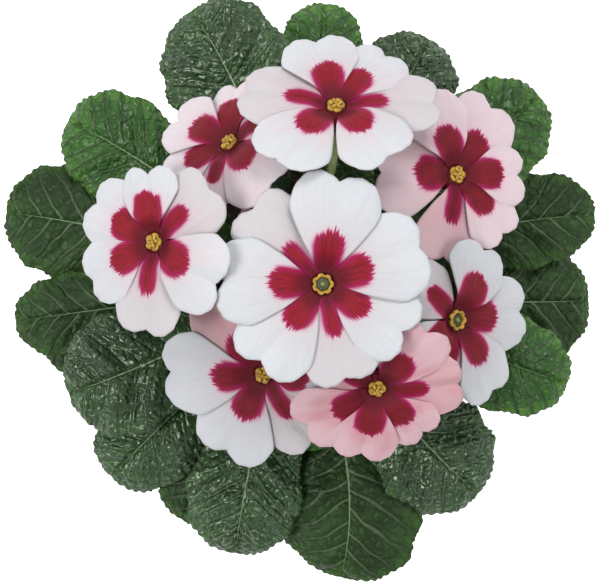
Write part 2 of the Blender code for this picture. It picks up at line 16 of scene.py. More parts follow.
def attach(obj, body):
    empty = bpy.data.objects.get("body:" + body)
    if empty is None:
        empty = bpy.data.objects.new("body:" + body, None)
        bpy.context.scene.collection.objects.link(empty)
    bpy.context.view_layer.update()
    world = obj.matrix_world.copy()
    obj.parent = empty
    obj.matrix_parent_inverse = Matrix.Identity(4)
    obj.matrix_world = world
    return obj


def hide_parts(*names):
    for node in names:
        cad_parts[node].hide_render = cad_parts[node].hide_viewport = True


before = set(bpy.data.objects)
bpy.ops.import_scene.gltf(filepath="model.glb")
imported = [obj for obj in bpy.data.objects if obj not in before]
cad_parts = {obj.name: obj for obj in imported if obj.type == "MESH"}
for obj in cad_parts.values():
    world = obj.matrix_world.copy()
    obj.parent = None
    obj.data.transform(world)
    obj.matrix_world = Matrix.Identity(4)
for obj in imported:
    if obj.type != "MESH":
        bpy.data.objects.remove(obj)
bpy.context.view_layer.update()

bl_info = {
    "name": "Potted primrose",
    "version": (1, 0, 0),
    "blender": (4, 5, 0),
    "location": "3D View > Sidebar > Primrose",
    "description": "Builds a flowering primrose with its leaves, blooms, buds, soil and pot",
    "category": "Add Mesh",
}

GAP = 0.0003
MERGE_DISTANCE = 0.000001

PLANT_MIDDLE = Vector((0, 0, 0.12))
PICTURE_WIDTH = 600
FLOOR_REACH = 3.0
# How wide each soft light is, and where it stands.
LIGHTS = {
    "key": (0.7, (0.25, 1.00, 1.60)),
    "side": (0.6, (-1.00, -0.20, 1.50)),
    "fill": (0.9, (1.10, -0.30, 1.30)),
}

POT_HEIGHT = 0.085
POT_RIM_RADIUS = 0.050
POT_RIM_HEIGHT = 0.011
POT_RIM_STEP = 0.0026
POT_FOOT_RADIUS = 0.034
POT_WALL = 0.0016
POT_FLOOR = 0.0022
DRAIN_HOLES = 4
DRAIN_HOLE_RADIUS = 0.004
DRAIN_RING_RADIUS = 0.022
POT_STEPS = 120
POT_SHARP = 50

SOIL_TOP = 0.072
SOIL_MOUND = 0.0015
SOIL_STEPS = 180
SOIL_RINGS = 32
SOIL_SHARP = 60
SOIL_PLAIN_EDGE = 0.001
CRUMBS_PER_METRE = 700
CROWN_RADIUS = 0.018
CROWN_BOTTOM = 0.056
CROWN_TOP = 0.0760
SOCKET_FLOOR = 0.0695
FOOT_RISE = 0.001

LEAF_RINGS = {"outer": 0.0143, "inner": 0.0093}
PUCKERS = 5
BROAD_PUCKERS = 3
FULL_QUILT_RELIEF = 0.0012
BLADE_THICKNESS = 0.0007
PETIOLE_WIDTH = 0.0022
PETIOLE_THICKNESS = 0.0020
PETIOLE_SHARE = 0.20
BLADE_TAPER = 2.0
LEAF_SPINE_STEPS = 80
LEAF_LEVEL = 0.0050
LEVEL_RISE = 0.0020
LEVEL_ARCH = 0.0055
RISE_REACH = 0.06
ARCH_REACH = 0.52
VEIN_SLANT = 1.7
CRENATION = 0.040
TOOTH_DEPTH = 0.00080
TOOTH_PITCH = 0.0024
EDGE_SAMPLES = 400
BLADE_RISE = 0.10
BLADE_FALL = 0.30
MARGIN_WAVE = 0.0009
MARGIN_WAVES = 9
MIDRIB_DEPTH = 0.0006
RIB_REACH = 0.0013
TIP_DROOP = 0.10
QUILT_CELL = 0.0026
PETIOLE_ROWS = 24
# Columns and rows of the grids that the blades are made from.
LEAF_GRID = (46, 150)
YOUNG_LEAF_GRID = (30, 70)
PETAL_GRID = (30, 30)

PETAL_THICKNESS = 0.00050
PETAL_ROOT = 0.0028
PETAL_LEVEL = 0.0010
PETAL_SHOULDER = 0.20
PETAL_DROOP = 0.0016
PETAL_CURL = 0.0010
TUBE_LENGTH = 0.0150
TUBE_RADIUS = 0.0018
THROAT_FLOOR = -0.0012
THROAT_DROP = 0.00125
THROAT_STEPS = 40
EYE_RADIUS = 0.0030
RING_LOBES = 7
CLUSTER_LOBES = 5
ANTHERS = 6
CALYX_HEIGHT = 0.0085
CALYX_BASE = 0.0020
CALYX_TEETH = 5
CALYX_TOOTH = 0.0014
CALYX_FLARE = 0.10
STALK_UPRIGHT = 0.82
STALK_NECK = 0.012
STALK_STEPS = 36
PETAL_SEED = 7
EYE_SEED = 5
STALK_SEED = 11
HAIRS = 160
HAIR_LENGTHS = (0.0005, 0.0009)
HAIR_RADIUS = 0.00005

# ring and bearing: where its socket stands in the crown, the bearing in degrees.
# tip: where the leaf ends in plan. bow: how far the midrib swings to the right of a straight run.
# level: its place in the pile of leaves, 0 lowest. roll: tilt about the midrib, in degrees.
# relief: height of the puckers. finish: which leaf finish it wears.
Leaf = namedtuple("Leaf", "name ring bearing tip half_width level bow roll relief finish")
LEAVES = (
    Leaf("leaf_01", "inner", 112, (-0.0322, 0.0817), 0.0185, 2.3, 0.010, 0, 0.0015, "glossy"),
    Leaf("leaf_02", "outer", 85, (0.0077, 0.0849), 0.0130, 0.0, 0.000, 0, 0.0008, "bright"),
    Leaf("leaf_03", "outer", 63, (0.0380, 0.0742), 0.0150, 1.0, 0.000, 0, 0.0013, "glossy"),
    Leaf("leaf_04", "inner", 39, (0.0700, 0.0563), 0.0155, 3.0, 0.000, 0, 0.0010, "bright"),
    Leaf("leaf_05", "inner", 8, (0.0864, 0.0217), 0.0135, 2.0, -0.010, 0, 0.0007, "smooth"),
    Leaf("leaf_06", "outer", -2, (0.0853, -0.0030), 0.0172, 1.0, 0.003, 0, 0.0009, "smooth"),
    Leaf("leaf_07", "inner", -20, (0.0779, -0.0274), 0.0140, 3.0, 0.000, 0, 0.0008, "bright"),
    Leaf("leaf_08", "inner", -48, (0.0525, -0.0598), 0.0170, 2.0, 0.005, 0, 0.0012, "glossy"),
    Leaf("leaf_09", "outer", -80, (0.0117, -0.0850), 0.0205, 1.0, -0.014, 0, 0.0008, "smooth"),
    Leaf("leaf_10", "inner", 252, (-0.0189, -0.0774), 0.0165, 2.0, 0.004, 0, 0.0015, "glossy"),
    Leaf("leaf_11", "outer", 245, (-0.0352, -0.0682), 0.0125, 0.0, 0.000, 0, 0.0005, "smooth"),
    Leaf("leaf_12", "outer", 224, (-0.0561, -0.0550), 0.0145, 0.8, 0.000, 0, 0.0012, "glossy"),
    Leaf("leaf_13", "inner", 204, (-0.0680, -0.0304), 0.0175, 2.4, -0.003, 0, 0.0015, "glossy"),
    Leaf("leaf_14", "outer", 199, (-0.0764, -0.0162), 0.0125, -0.6, 0.000, 0, 0.0005, "smooth"),
    Leaf("leaf_15", "outer", 179, (-0.0842, -0.0091), 0.0120, 0.4, 0.000, 6, 0.0008, "smooth"),
    Leaf("leaf_16", "outer", 159, (-0.0874, 0.0229), 0.0165, -0.2, 0.005, 0, 0.0006, "smooth"),
    Leaf("leaf_17", "outer", 138, (-0.0685, 0.0498), 0.0155, 1.2, 0.006, 0, 0.0013, "bright"),
    Leaf("young_leaf_1", "inner", 75, (0.0150, 0.0420), 0.0100, 3.0, 0.000, 0, 0.0008, "bright"),
    Leaf("young_leaf_2", "inner", 160, (-0.0400, 0.0190), 0.0100, 3.0, 0.000, 0, 0.0008, "bright"),
    Leaf("young_leaf_3", "inner", -78, (0.0060, -0.0470), 0.0110, 3.0, 0.000, 0, 0.0008, "bright"),
)
BROADLY_PUCKERED = ("leaf_02", "leaf_11", "leaf_12", "leaf_14", "young_leaf_1", "young_leaf_2",
                    "young_leaf_3")
# How high the midrib of a leaf at level 0 stands, where it rises, arches and ends.
CREST = {"rise": 0.085, "arch": 0.099, "tip": 0.086}

# angle: direction in the bloom's own plane, 0 towards +X. spread: half its width, as an angle.
# level: its place in the bloom, 0 undermost. All angles are in degrees.
Petal = namedtuple("Petal", "angle length spread level")
# lean: how far it tilts from face up. towards: the side that it leans to.
# socket: where its stalk stands in the crown. All three are in degrees.
# finish: the petals' colours, where the white of blooms 6 and 7 is darkened as painted shade. eye:
# "ring" for an open throat, "anthers" for a filled one.
Bloom = namedtuple("Bloom", "centre lean towards socket finish eye petals")
BLOOMS = (
    Bloom((0.0062, 0.0016, 0.1520), 0, 0, 205, "white", "ring", (
        Petal(81, 0.0306, 32, 3), Petal(21, 0.0298, 33, 2), Petal(-31, 0.0279, 31, 1),
        Petal(-76, 0.0279, 30, 0), Petal(231, 0.0293, 31, 1), Petal(178, 0.0293, 32, 2),
        Petal(133, 0.0297, 27, 0))),
    Bloom((0.0098, 0.0510, 0.1430), 40, 90, 75, "rosy_white", "anthers", (
        Petal(103, 0.0261, 33, 2), Petal(53, 0.0251, 31, 1), Petal(5, 0.0288, 30, 0),
        Petal(-54, 0.0256, 34, 2), Petal(230, 0.0269, 35, 1), Petal(165, 0.0271, 33, 0))),
    Bloom((-0.0201, 0.0415, 0.1300), 45, 135, 120, "pale_blush", "anthers", (
        Petal(92, 0.0205, 34, 1), Petal(26, 0.0210, 33, 0), Petal(-45, 0.0261, 36, 1),
        Petal(258, 0.0205, 30, 0), Petal(205, 0.0220, 32, 1), Petal(150, 0.0241, 32, 2))),
    Bloom((-0.0403, 0.0131, 0.1450), 28, 180, 165, "rosy_white", "anthers", (
        Petal(150, 0.0234, 34, 1), Petal(93, 0.0210, 33, 2), Petal(40, 0.0238, 33, 0),
        Petal(-30, 0.0257, 36, 2), Petal(262, 0.0258, 32, 0), Petal(208, 0.0237, 31, 1))),
    Bloom((0.0443, 0.0324, 0.1280), 30, 20, 30, "blush", "anthers", (
        Petal(114, 0.0244, 34, 2), Petal(58, 0.0256, 33, 1), Petal(2, 0.0217, 33, 2),
        Petal(-49, 0.0230, 31, 1), Petal(-101, 0.0257, 31, -1), Petal(182, 0.0269, 37, 0))),
    Bloom((0.0438, -0.0084, 0.1315), 38, 358, 338, "soft_white", "ring", (
        Petal(68, 0.0228, 36, 3), Petal(5, 0.0261, 32, 1), Petal(-57, 0.0252, 30, 2),
        Petal(-104, 0.0223, 30, 0), Petal(214, 0.0154, 32, 1), Petal(140, 0.0195, 36, 0))),
    Bloom((-0.0104, -0.0239, 0.1290), 25, 225, 245, "soft_white", "anthers", (
        Petal(181, 0.0297, 33, 2), Petal(242, 0.0287, 33, 1), Petal(-57, 0.0251, 33, 0),
        Petal(5, 0.0231, 32, 1), Petal(61, 0.0200, 30, 0), Petal(124, 0.0269, 32, 1))),
    Bloom((0.0212, -0.0275, 0.1388), 30, 270, 298, "pink", "anthers", (
        Petal(54, 0.0246, 33, 1), Petal(2, 0.0240, 33, 0), Petal(-48, 0.0210, 31, 1),
        Petal(-101, 0.0231, 32, 2), Petal(212, 0.0250, 33, 1), Petal(146, 0.0195, 33, 0))),
)
Bud = namedtuple("Bud", "centre lean towards socket")
BUDS = (
    Bud((0.0180, 0.0250, 0.1270), 20, 58, 0),
    Bud((-0.0155, 0.0215, 0.1270), 20, 126, 180),
)
# How deep a dusky rose shade is painted on some petals that lie under others, by the bloom's number
# and the petal's angle.
ROSE_SHADE_DEPTHS = {(5, -101): 0.45, (5, 182): 0.20, (7, 124): 1.0}
BUD_LENGTH = 0.015
BUD_RADIUS = 0.0026
BUD_STEPS = 40

# ring: how far out in the crown it stands. cup: the calyx's radius. tube: what the calyx holds.
StalkForm = namedtuple("StalkForm", "ring radius cup tube_radius tube_length")
BLOOM_STALK = StalkForm(0.0052, 0.0011, 0.0031, TUBE_RADIUS, TUBE_LENGTH)
BUD_STALK = StalkForm(0.0016, 0.0008, 0.0025, 0.55 * BUD_RADIUS, BUD_LENGTH)


def number_setting(name, description, default, **kind):
    return bpy.props.FloatProperty(name=name, description=description, default=default, **kind)


def length_setting(name, description, default):
    return number_setting(name, description, default, subtype="DISTANCE", unit="LENGTH", precision=5)


def power_setting(name, description, default):
    return number_setting(name, description, default, unit="POWER")


def colour_setting(name, description, default):
    return bpy.props.FloatVectorProperty(
        name=name, description=description, default=default, size=3, min=0.0, max=1.0,
        subtype="COLOR"
    )


class LeafSettings(bpy.types.PropertyGroup):
    veins: bpy.props.IntProperty(
        name="Side veins", description="Side veins on each half of a leaf", default=13, min=4, max=24
    )
    quilting: length_setting("Quilting", "Height of the bulges between the side veins", 0.00050)
    cell: length_setting("Net cell", "Width of the smallest cells of the vein net", 0.0025)
    dark: colour_setting("Dark green", "Glossy outer leaves", (0.013, 0.037, 0.009))
    bright: colour_setting("Bright green", "Lighter leaves", (0.022, 0.068, 0.012))
    smooth: colour_setting("Dull green", "Smoother, duller leaves", (0.014, 0.033, 0.009))
    vein: colour_setting("Veins", "Pale midrib and side veins", (0.24, 0.34, 0.18))
    # Painted light: a fresh green along each leaf's rim, where light catches the thin edge.
    margin: colour_setting("Margin", "Fresh green rim of a leaf", (0.060, 0.155, 0.020))


class BloomSettings(bpy.types.PropertyGroup):
    ray_reach: length_setting("Ray reach", "How far the star's rays reach from the eye", 0.0124)
    ray_width: number_setting(
        "Ray width", "Half a ray's width, as a share of its reach", 0.232, min=0.0, max=1.0
    )
    crimson: colour_setting("Crimson", "The star near the eye", (0.088, 0.004, 0.010))
    scarlet: colour_setting("Red", "The middle of each ray", (0.190, 0.004, 0.012))
    magenta: colour_setting("Magenta", "The feathered edge of each ray", (0.240, 0.004, 0.062))
    halo: colour_setting("Halo", "The pink flush round each ray", (0.50, 0.20, 0.30))
    white: colour_setting("White", "White petals", (0.425, 0.432, 0.450))
    blush: colour_setting("Blush", "Blush petals", (0.500, 0.400, 0.430))
    pink: colour_setting("Pink", "Pink petals", (0.410, 0.195, 0.220))
    # The dusky rose of painted shade, on petals that lie under others.
    rose: colour_setting("Dusky rose", "Petals flushed a deeper rose", (0.400, 0.210, 0.225))
    gold: colour_setting("Gold", "The lobed eye and its anthers", (0.36, 0.210, 0.020))


class PotSettings(bpy.types.PropertyGroup):
    plastic: colour_setting("Plastic", "The pot's plastic", (0.105, 0.045, 0.028))
    peat: colour_setting("Peat", "The soil", (0.030, 0.018, 0.011))
    crumb: length_setting("Crumb", "Height of the soil's crumbs", 0.0007)


class StageSettings(bpy.types.PropertyGroup):
    camera_height: length_setting("Camera height", "Height of the camera over the floor", 0.900)
    lens: number_setting("Lens", "Focal length in millimetres", 166.0, min=20.0)
    key_power: power_setting("Key light", "Power of the large soft light", 22.0)
    side_power: power_setting("Side light", "Power of the light on the left", 23.0)
    fill_power: power_setting("Fill light", "Power of the light on the right", 9.5)
    floor: colour_setting("Floor", "The plain pale floor", (0.95, 0.95, 0.95))


def smooth_step(low, high, value):
    t = min(1.0, max(0.0, (value - low) / (high - low)))
    return t * t * (3 - 2 * t)


def polar(radius, degrees, height=0.0):
    angle = math.radians(degrees)
    return Vector((radius * math.cos(angle), radius * math.sin(angle), height))


def cubic(points, t):
    """A point on a cubic curve."""
    a, b, c, d = points
    s = 1 - t
    return a * s**3 + b * (3 * s * s * t) + c * (3 * s * t * t) + d * t**3


def placed(name, data):
    """A new object in the scene for this data, at the origin."""
    obj = bpy.data.objects.new(name, data)
    bpy.context.scene.collection.objects.link(obj)
    return obj


def object_from_bmesh(name, bm, material):
    mesh = bpy.data.meshes.new(name)
    bm.to_mesh(mesh)
    bm.free()
    mesh.materials.append(material)
    return placed(name, mesh)


def map_form(bm, uv, spot_of):
    """Writes the blade's own UV map: spot_of(vert) gives each point's place in it."""
    for face in bm.faces:
        for loop in face.loops:
            loop[uv].uv = spot_of(loop.vert)


def apply_modifiers(obj):
    bpy.context.view_layer.update()
    graph = bpy.context.evaluated_depsgraph_get()
    mesh = bpy.data.meshes.new_from_object(obj.evaluated_get(graph), depsgraph=graph)
    obj.modifiers.clear()
    obj.data = mesh


def finish_piece(obj, slot, *nodes):
    """Smooth shading, its place on the plant's one body, and the solids that it stands for."""
    obj.data.shade_smooth()
    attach(obj, "root")
    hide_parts(*nodes)
    return obj


def spun(bm, profile, steps):
    """Turns (radius, height) pairs about Z into a closed shell. It runs down the outer side."""
    verts = [bm.verts.new((radius, 0, height)) for radius, height in profile]
    edges = [bm.edges.new(pair) for pair in zip(verts, verts[1:])]
    bmesh.ops.spin(
        bm, geom=verts + edges, cent=(0, 0, 0), axis=(0, 0, 1), angle=2 * math.pi,
        steps=steps, use_merge=True
    )
    bmesh.ops.remove_doubles(bm, verts=bm.verts, dist=MERGE_DISTANCE)
    bmesh.ops.recalc_face_normals(bm, faces=bm.faces)


def sheet(name, grid, place, thickness, offset, material):
    """A thin waved blade. place(u, v) gives a point, its share of the thickness, and its UV."""
    bm = bmesh.new()
    uv = bm.loops.layers.uv.new("form")
    shares = bm.verts.layers.deform.verify()
    bmesh.ops.create_grid(bm, x_segments=grid[0], y_segments=grid[1], size=1.0)
    spots = {}
    for vert in bm.verts:
        point, share, spots[vert] = place(vert.co.x, (vert.co.y + 1) / 2)
        vert.co = point
        vert[shares][0] = share
    map_form(bm, uv, spots.get)
    obj = object_from_bmesh(name, bm, material)
    obj.vertex_groups.new(name="thickness")
    solidify = obj.modifiers.new("thickness", "SOLIDIFY")
    solidify.thickness = thickness
    solidify.offset = offset
    solidify.vertex_group = "thickness"
    apply_modifiers(obj)
    return obj


def joined(name, objects):
    """One piece out of several, with their UVs and materials kept."""
    bm = bmesh.new()
    materials = []
    for obj in objects:
        first = len(bm.faces)
        bm.from_mesh(obj.data)
        bm.faces.ensure_lookup_table()
        material = obj.data.materials[0]
        if material not in materials:
            materials.append(material)
        for face in bm.faces[first:]:
            face.material_index = materials.index(material)
        bpy.data.objects.remove(obj)
    whole = object_from_bmesh(name, bm, materials[0])
    for material in materials[1:]:
        whole.data.materials.append(material)
    return whole


class Nodes:
    """Short ways to place and link shader nodes in one tree."""

    def __init__(self, tree):
        self.tree = tree

    def feed(self, node, inputs):
        """Links or sets each of these inputs of the node."""
        for key, value in inputs.items():
            if isinstance(value, bpy.types.NodeSocket):
                self.tree.links.new(value, node.inputs[key])
            else:
                node.inputs[key].default_value = value

    def add(self, kind, inputs=None, **settings):
        node = self.tree.nodes.new(kind)
        for key, value in settings.items():
            setattr(node, key, value)
        self.feed(node, inputs or {})
        return node

    def math(self, operation, a, b=0.0, c=0.0):
        return self.add("ShaderNodeMath", {0: a, 1: b, 2: c}, operation=operation).outputs[0]

    def times(self, a, b, plus=0.0):
        return self.math("MULTIPLY_ADD", a, b, plus)

    def vector_math(self, operation, inputs):
        return self.add("ShaderNodeVectorMath", inputs, operation=operation).outputs[0]

    def step(self, value, low, high):
        """0 at low, 1 at high and smooth between them, whichever is the larger."""
        inputs = {"Value": value, "From Min": low, "From Max": high}
        node = self.add("ShaderNodeMapRange", inputs, interpolation_type="SMOOTHSTEP")
        return node.outputs["Result"]

    def mix(self, share, first, second):
        inputs = {0: share, 6: opaque(first), 7: opaque(second)}
        return self.add("ShaderNodeMix", inputs, data_type="RGBA", clamp_factor=True).outputs[2]

    def noise(self, vector, scale, detail=2.0, roughness=0.5):
        inputs = {"Vector": vector, "Scale": scale, "Detail": detail, "Roughness": roughness}
        return self.add("ShaderNodeTexNoise", inputs).outputs["Fac"]

    def place(self):
        """The point's place on the plant, in metres."""
        return self.add("ShaderNodeTexCoord").outputs["Object"]

    def form(self):
        """The blade's own UV map: x across it and y from its foot to its tip."""
        return self.add("ShaderNodeUVMap", uv_map="form").outputs["UV"]

    def parts(self, vector):
        return self.add("ShaderNodeSeparateXYZ", {0: vector}).outputs

    def attribute(self, name):
        return self.add("ShaderNodeAttribute", attribute_name=name).outputs["Fac"]

    def bump(self, height, distance):
        return self.add("ShaderNodeBump", {"Height": height, "Distance": distance}).outputs["Normal"]


def new_group(name, inputs, outputs):
    """An empty shader node group. An input with no default is a vector, all else is a number."""
    group = bpy.data.node_groups.new(name, "ShaderNodeTree")
    for socket, default in inputs.items():
        kind = "NodeSocketVector" if default is None else "NodeSocketFloat"
        made = group.interface.new_socket(socket, in_out="INPUT", socket_type=kind)
        if default is not None:
            made.default_value = default
    for socket in outputs:
        group.interface.new_socket(socket, in_out="OUTPUT", socket_type="NodeSocketFloat")
    nodes = Nodes(group)
    return group, nodes, nodes.add("NodeGroupInput").outputs, nodes.add("NodeGroupOutput")


def group_in(nodes, name, values):
    """The node group of this name, made on first use, placed with its own values."""
    group = bpy.data.node_groups.get(name) or GROUPS[name]()
    return nodes.add("ShaderNodeGroup", values, node_tree=group).outputs


def vein_net_group():
    """Midrib, side veins and the quilted net between them, from a leaf's own UV map and place."""
    group, nodes, given, out = new_group(
        "vein_net",
        {"Form": None, "Place": None, "Veins": 13.0, "Side Share": 0.4, "Cell Scale": 400.0},
        ("Vein", "Groove", "Height", "Tone", "Margin"),
    )
    form = nodes.parts(given["Form"])
    across = nodes.math("ABSOLUTE", nodes.times(form["X"], 2.0, -1.0))
    half = nodes.math("GREATER_THAN", form["X"], 0.5)
    wobble = nodes.noise(given["Place"], 90.0, 1.0)
    rank = nodes.times(form["Y"], given["Veins"], nodes.times(half, 0.5))
    near = nodes.math("PINGPONG", nodes.times(wobble, 0.8, rank), 0.5)
    side_vein = nodes.times(nodes.step(near, 0.10, 0.01), nodes.times(across, -0.85, 1.0))
    side_valley = nodes.step(near, 0.24, 0.0)
    taper = nodes.times(form["Y"], -0.036, 0.060)
    midrib = nodes.step(nodes.math("DIVIDE", across, taper), 1.0, 0.30)
    bent = nodes.add("ShaderNodeTexNoise", {"Vector": given["Place"], "Scale": 380.0, "Detail": 1.0})
    centred = nodes.vector_math("SUBTRACT", {0: bent.outputs["Color"], 1: (0.5, 0.5, 0.5)})
    shift = nodes.vector_math("SCALE", {0: centred, "Scale": 0.0011})
    moved = nodes.vector_math("ADD", {0: given["Place"], 1: shift})
    cells = nodes.add(
        "ShaderNodeTexVoronoi",
        {"Vector": moved, "Scale": given["Cell Scale"], "Randomness": 0.85},
        feature="DISTANCE_TO_EDGE",
    ).outputs["Distance"]
    height = nodes.times(side_valley, -0.8, nodes.step(cells, 0.0, 0.34))
    height = nodes.times(midrib, -0.5, height)
    height = nodes.times(nodes.noise(given["Place"], 2600.0), 0.015, height)
    # Painted shade: the net lines and side valleys, where shade falls between the bulges.
    net = nodes.step(cells, 0.10, 0.0)
    tone = nodes.noise(given["Place"], 55.0, 3.0, 0.6)
    # The rim and the tip, where light is painted along the edge.
    rim = nodes.math("MAXIMUM", nodes.math("POWER", across, 5.0), nodes.math("POWER", form["Y"], 8.0))
    nodes.feed(out, {
        "Vein": nodes.math("MAXIMUM", midrib, nodes.times(side_vein, given["Side Share"])),
        "Groove": nodes.math("MAXIMUM", nodes.times(net, 0.7), side_valley),
        "Height": height,
        "Tone": tone,
        "Margin": nodes.step(nodes.times(tone, 0.8, rim), 0.55, 1.35),
    })
    return group


def star_mark_group():
    """The dark ray on a petal, with its feathered end, from the petal's own UV map and seed."""
    group, nodes, given, out = new_group(
        "star_mark",
        {"Form": None, "Seed": 0.0, "Reach": 0.50, "Width": 0.12},
        ("Mark", "Halo", "Core", "Streak", "Fold"),
    )
    form = nodes.parts(given["Form"])
    u = nodes.times(form["X"], 2.0, -1.0)
    v = form["Y"]
    aside = nodes.times(nodes.math("ABSOLUTE", u), nodes.times(v, 0.58))
    seed = nodes.times(given["Seed"], 37.0)

    def stretched(across, along):
        inputs = {"X": nodes.times(u, across), "Y": nodes.times(v, along), "Z": seed}
        return nodes.add("ShaderNodeCombineXYZ", inputs).outputs[0]

    comb = nodes.noise(stretched(9.0, 2.6), 1.7, 3.0, 0.65)
    drift = nodes.noise(stretched(1.3, 1.3), 1.5, 1.0)
    end = nodes.times(comb, 0.21, nodes.math("ADD", given["Reach"], -0.135))
    end = nodes.times(drift, 0.08, end)
    end = nodes.times(nodes.step(aside, 0.02, 0.12), -0.05, end)
    left = nodes.math("SUBTRACT", end, v)
    flare = nodes.times(comb, 0.25, nodes.times(nodes.step(v, 0.10, 0.36), 0.32, 0.70))
    beside = nodes.math("SUBTRACT", nodes.times(given["Width"], flare), aside)
    inside = nodes.math("SMOOTH_MIN", left, beside, 0.10)
    nodes.feed(out, {
        "Mark": nodes.step(inside, -0.040, -0.002),
        "Halo": nodes.step(inside, -0.075, -0.02),
        "Core": nodes.step(inside, -0.02, 0.045),
        "Streak": comb,
        "Fold": drift,
    })
    return group


def mottle_group():
    """Broad uneven patches, and a small grain for relief."""
    group, nodes, given, out = new_group(
        "mottle", {"Place": None, "Patches": 120.0, "Grains": 1500.0}, ("Patch", "Grain")
    )
    nodes.feed(out, {
        "Patch": nodes.noise(given["Place"], given["Patches"], 4.0, 0.6),
        "Grain": nodes.noise(given["Place"], given["Grains"], 3.0, 0.6),
    })
    return group


GROUPS = {"vein_net": vein_net_group, "star_mark": star_mark_group, "mottle": mottle_group}


def opaque(colour):
    """The colour with full alpha. A socket stays as it is."""
    return colour if isinstance(colour, bpy.types.NodeSocket) else (*colour[:3], 1.0)


def tinted(colour, shares):
    return [channel * share for channel, share in zip(colour, shares)]


def shaded(colour, share):
    """The same hue, darker, or lighter where the share is over 1."""
    return tinted(colour, [share] * 3)


def halfway(first, second):
    return [(a + b) / 2 for a, b in zip(first, second)]


def material_named(name, paint, *given):
    """The material of this name, made on first use. paint(nodes, *given) gives its shader's inputs."""
    if name not in bpy.data.materials:
        material = bpy.data.materials.new(name)
        material.use_nodes = True
        nodes = Nodes(material.node_tree)
        nodes.feed(material.node_tree.nodes["Principled BSDF"], paint(nodes, *given))
    return bpy.data.materials[name]


# shine: how strongly it mirrors the lights. relief: height of the finest bulges.
# midrib: how pale the midrib is, its own pale colour and, on the glossy leaves, also a painted
# highlight. side: how pale the side veins are against it.
# margin: how strongly a fresh green is painted along the rim, as light that catches the thin edge.
# veins and cell: the number of side veins and the net's width, against the settings.
LeafFinish = namedtuple("LeafFinish", "colour roughness shine relief midrib side margin veins cell")
LEAF_FINISHES = {
    "glossy": LeafFinish("dark", 0.30, 0.60, 0.00040, 0.80, 0.20, 0.12, 1.00, 1.00),
    "bright": LeafFinish("bright", 0.34, 0.30, 0.00040, 0.70, 0.25, 0.70, 0.85, 1.05),
    "smooth": LeafFinish("smooth", 0.44, 0.18, 0.00032, 0.60, 0.50, 0.25, 0.75, 1.20),
}
# The tint of the light that a leaf mirrors.
LEAF_GLINT = (0.82, 1.00, 0.76, 1.0)
# Shares of a petal's own colour: greyer and bluer in its fine veins, their own tint with painted shade
# in the creases; duller and warmer for painted shade at its base and on the undermost petal.
PETAL_SHADOW = (0.78, 0.80, 0.86)
PETAL_WARM_SHADE = (0.86, 0.70, 0.68)
# patches and grains: how many there are to a metre. relief: height of the grain.
Mottle = namedtuple("Mottle", "roughness patches grains relief")
MOTTLES = {
    "golden_lobes": Mottle(0.55, 900.0, 3000.0, 0.00012),
    "olive_throat": Mottle(0.50, 1200.0, 3000.0, 0.00010),
    "stigma_green": Mottle(0.40, 1500.0, 4000.0, 0.00010),
    "stalk_skin": Mottle(0.50, 300.0, 1800.0, 0.00015),
    "stalk_hair": Mottle(0.60, 900.0, 3000.0, 0.00005),
    "rolled_rose": Mottle(0.60, 400.0, 1800.0, 0.00010),
    "moulded_plastic": Mottle(0.46, 60.0, 1800.0, 0.00008),
    "peat_crumbs": Mottle(0.92, 500.0, 1600.0, 0.00080),
    "crown_bark": Mottle(0.80, 260.0, 900.0, 0.00060),
}


def side_veins(finish):
    return round(bpy.context.scene.primrose_leaf.veins * finish.veins)


def leaf_paint(nodes, finish):
    settings = bpy.context.scene.primrose_leaf
    green = getattr(settings, finish.colour)
    net = group_in(nodes, "vein_net", {
        "Form": nodes.form(), "Place": nodes.place(), "Veins": float(side_veins(finish)),
        "Side Share": finish.side, "Cell Scale": 1 / (settings.cell * finish.cell),
    })
    colour = nodes.mix(nodes.step(net["Tone"], 0.35, 0.70), shaded(green, 0.75), shaded(green, 1.45))
    # Painted light along the rim, in a fresh green, strongest on the bright leaves.
    colour = nodes.mix(nodes.times(net["Margin"], finish.margin), colour, settings.margin)
    # Painted shade in the grooves between the bulges.
    colour = nodes.mix(nodes.times(net["Groove"], 0.85), colour, shaded(green, 0.30))
    return {
        # The pale midrib and side veins: their own colour, with a painted highlight added on the
        # glossy leaves.
        "Base Color": nodes.mix(nodes.times(net["Vein"], finish.midrib), colour, settings.vein),
        "Roughness": nodes.times(net["Tone"], 0.20, finish.roughness - 0.10),
        "Specular IOR Level": finish.shine,
        "Specular Tint": LEAF_GLINT,
        "Normal": nodes.bump(net["Height"], finish.relief),
    }


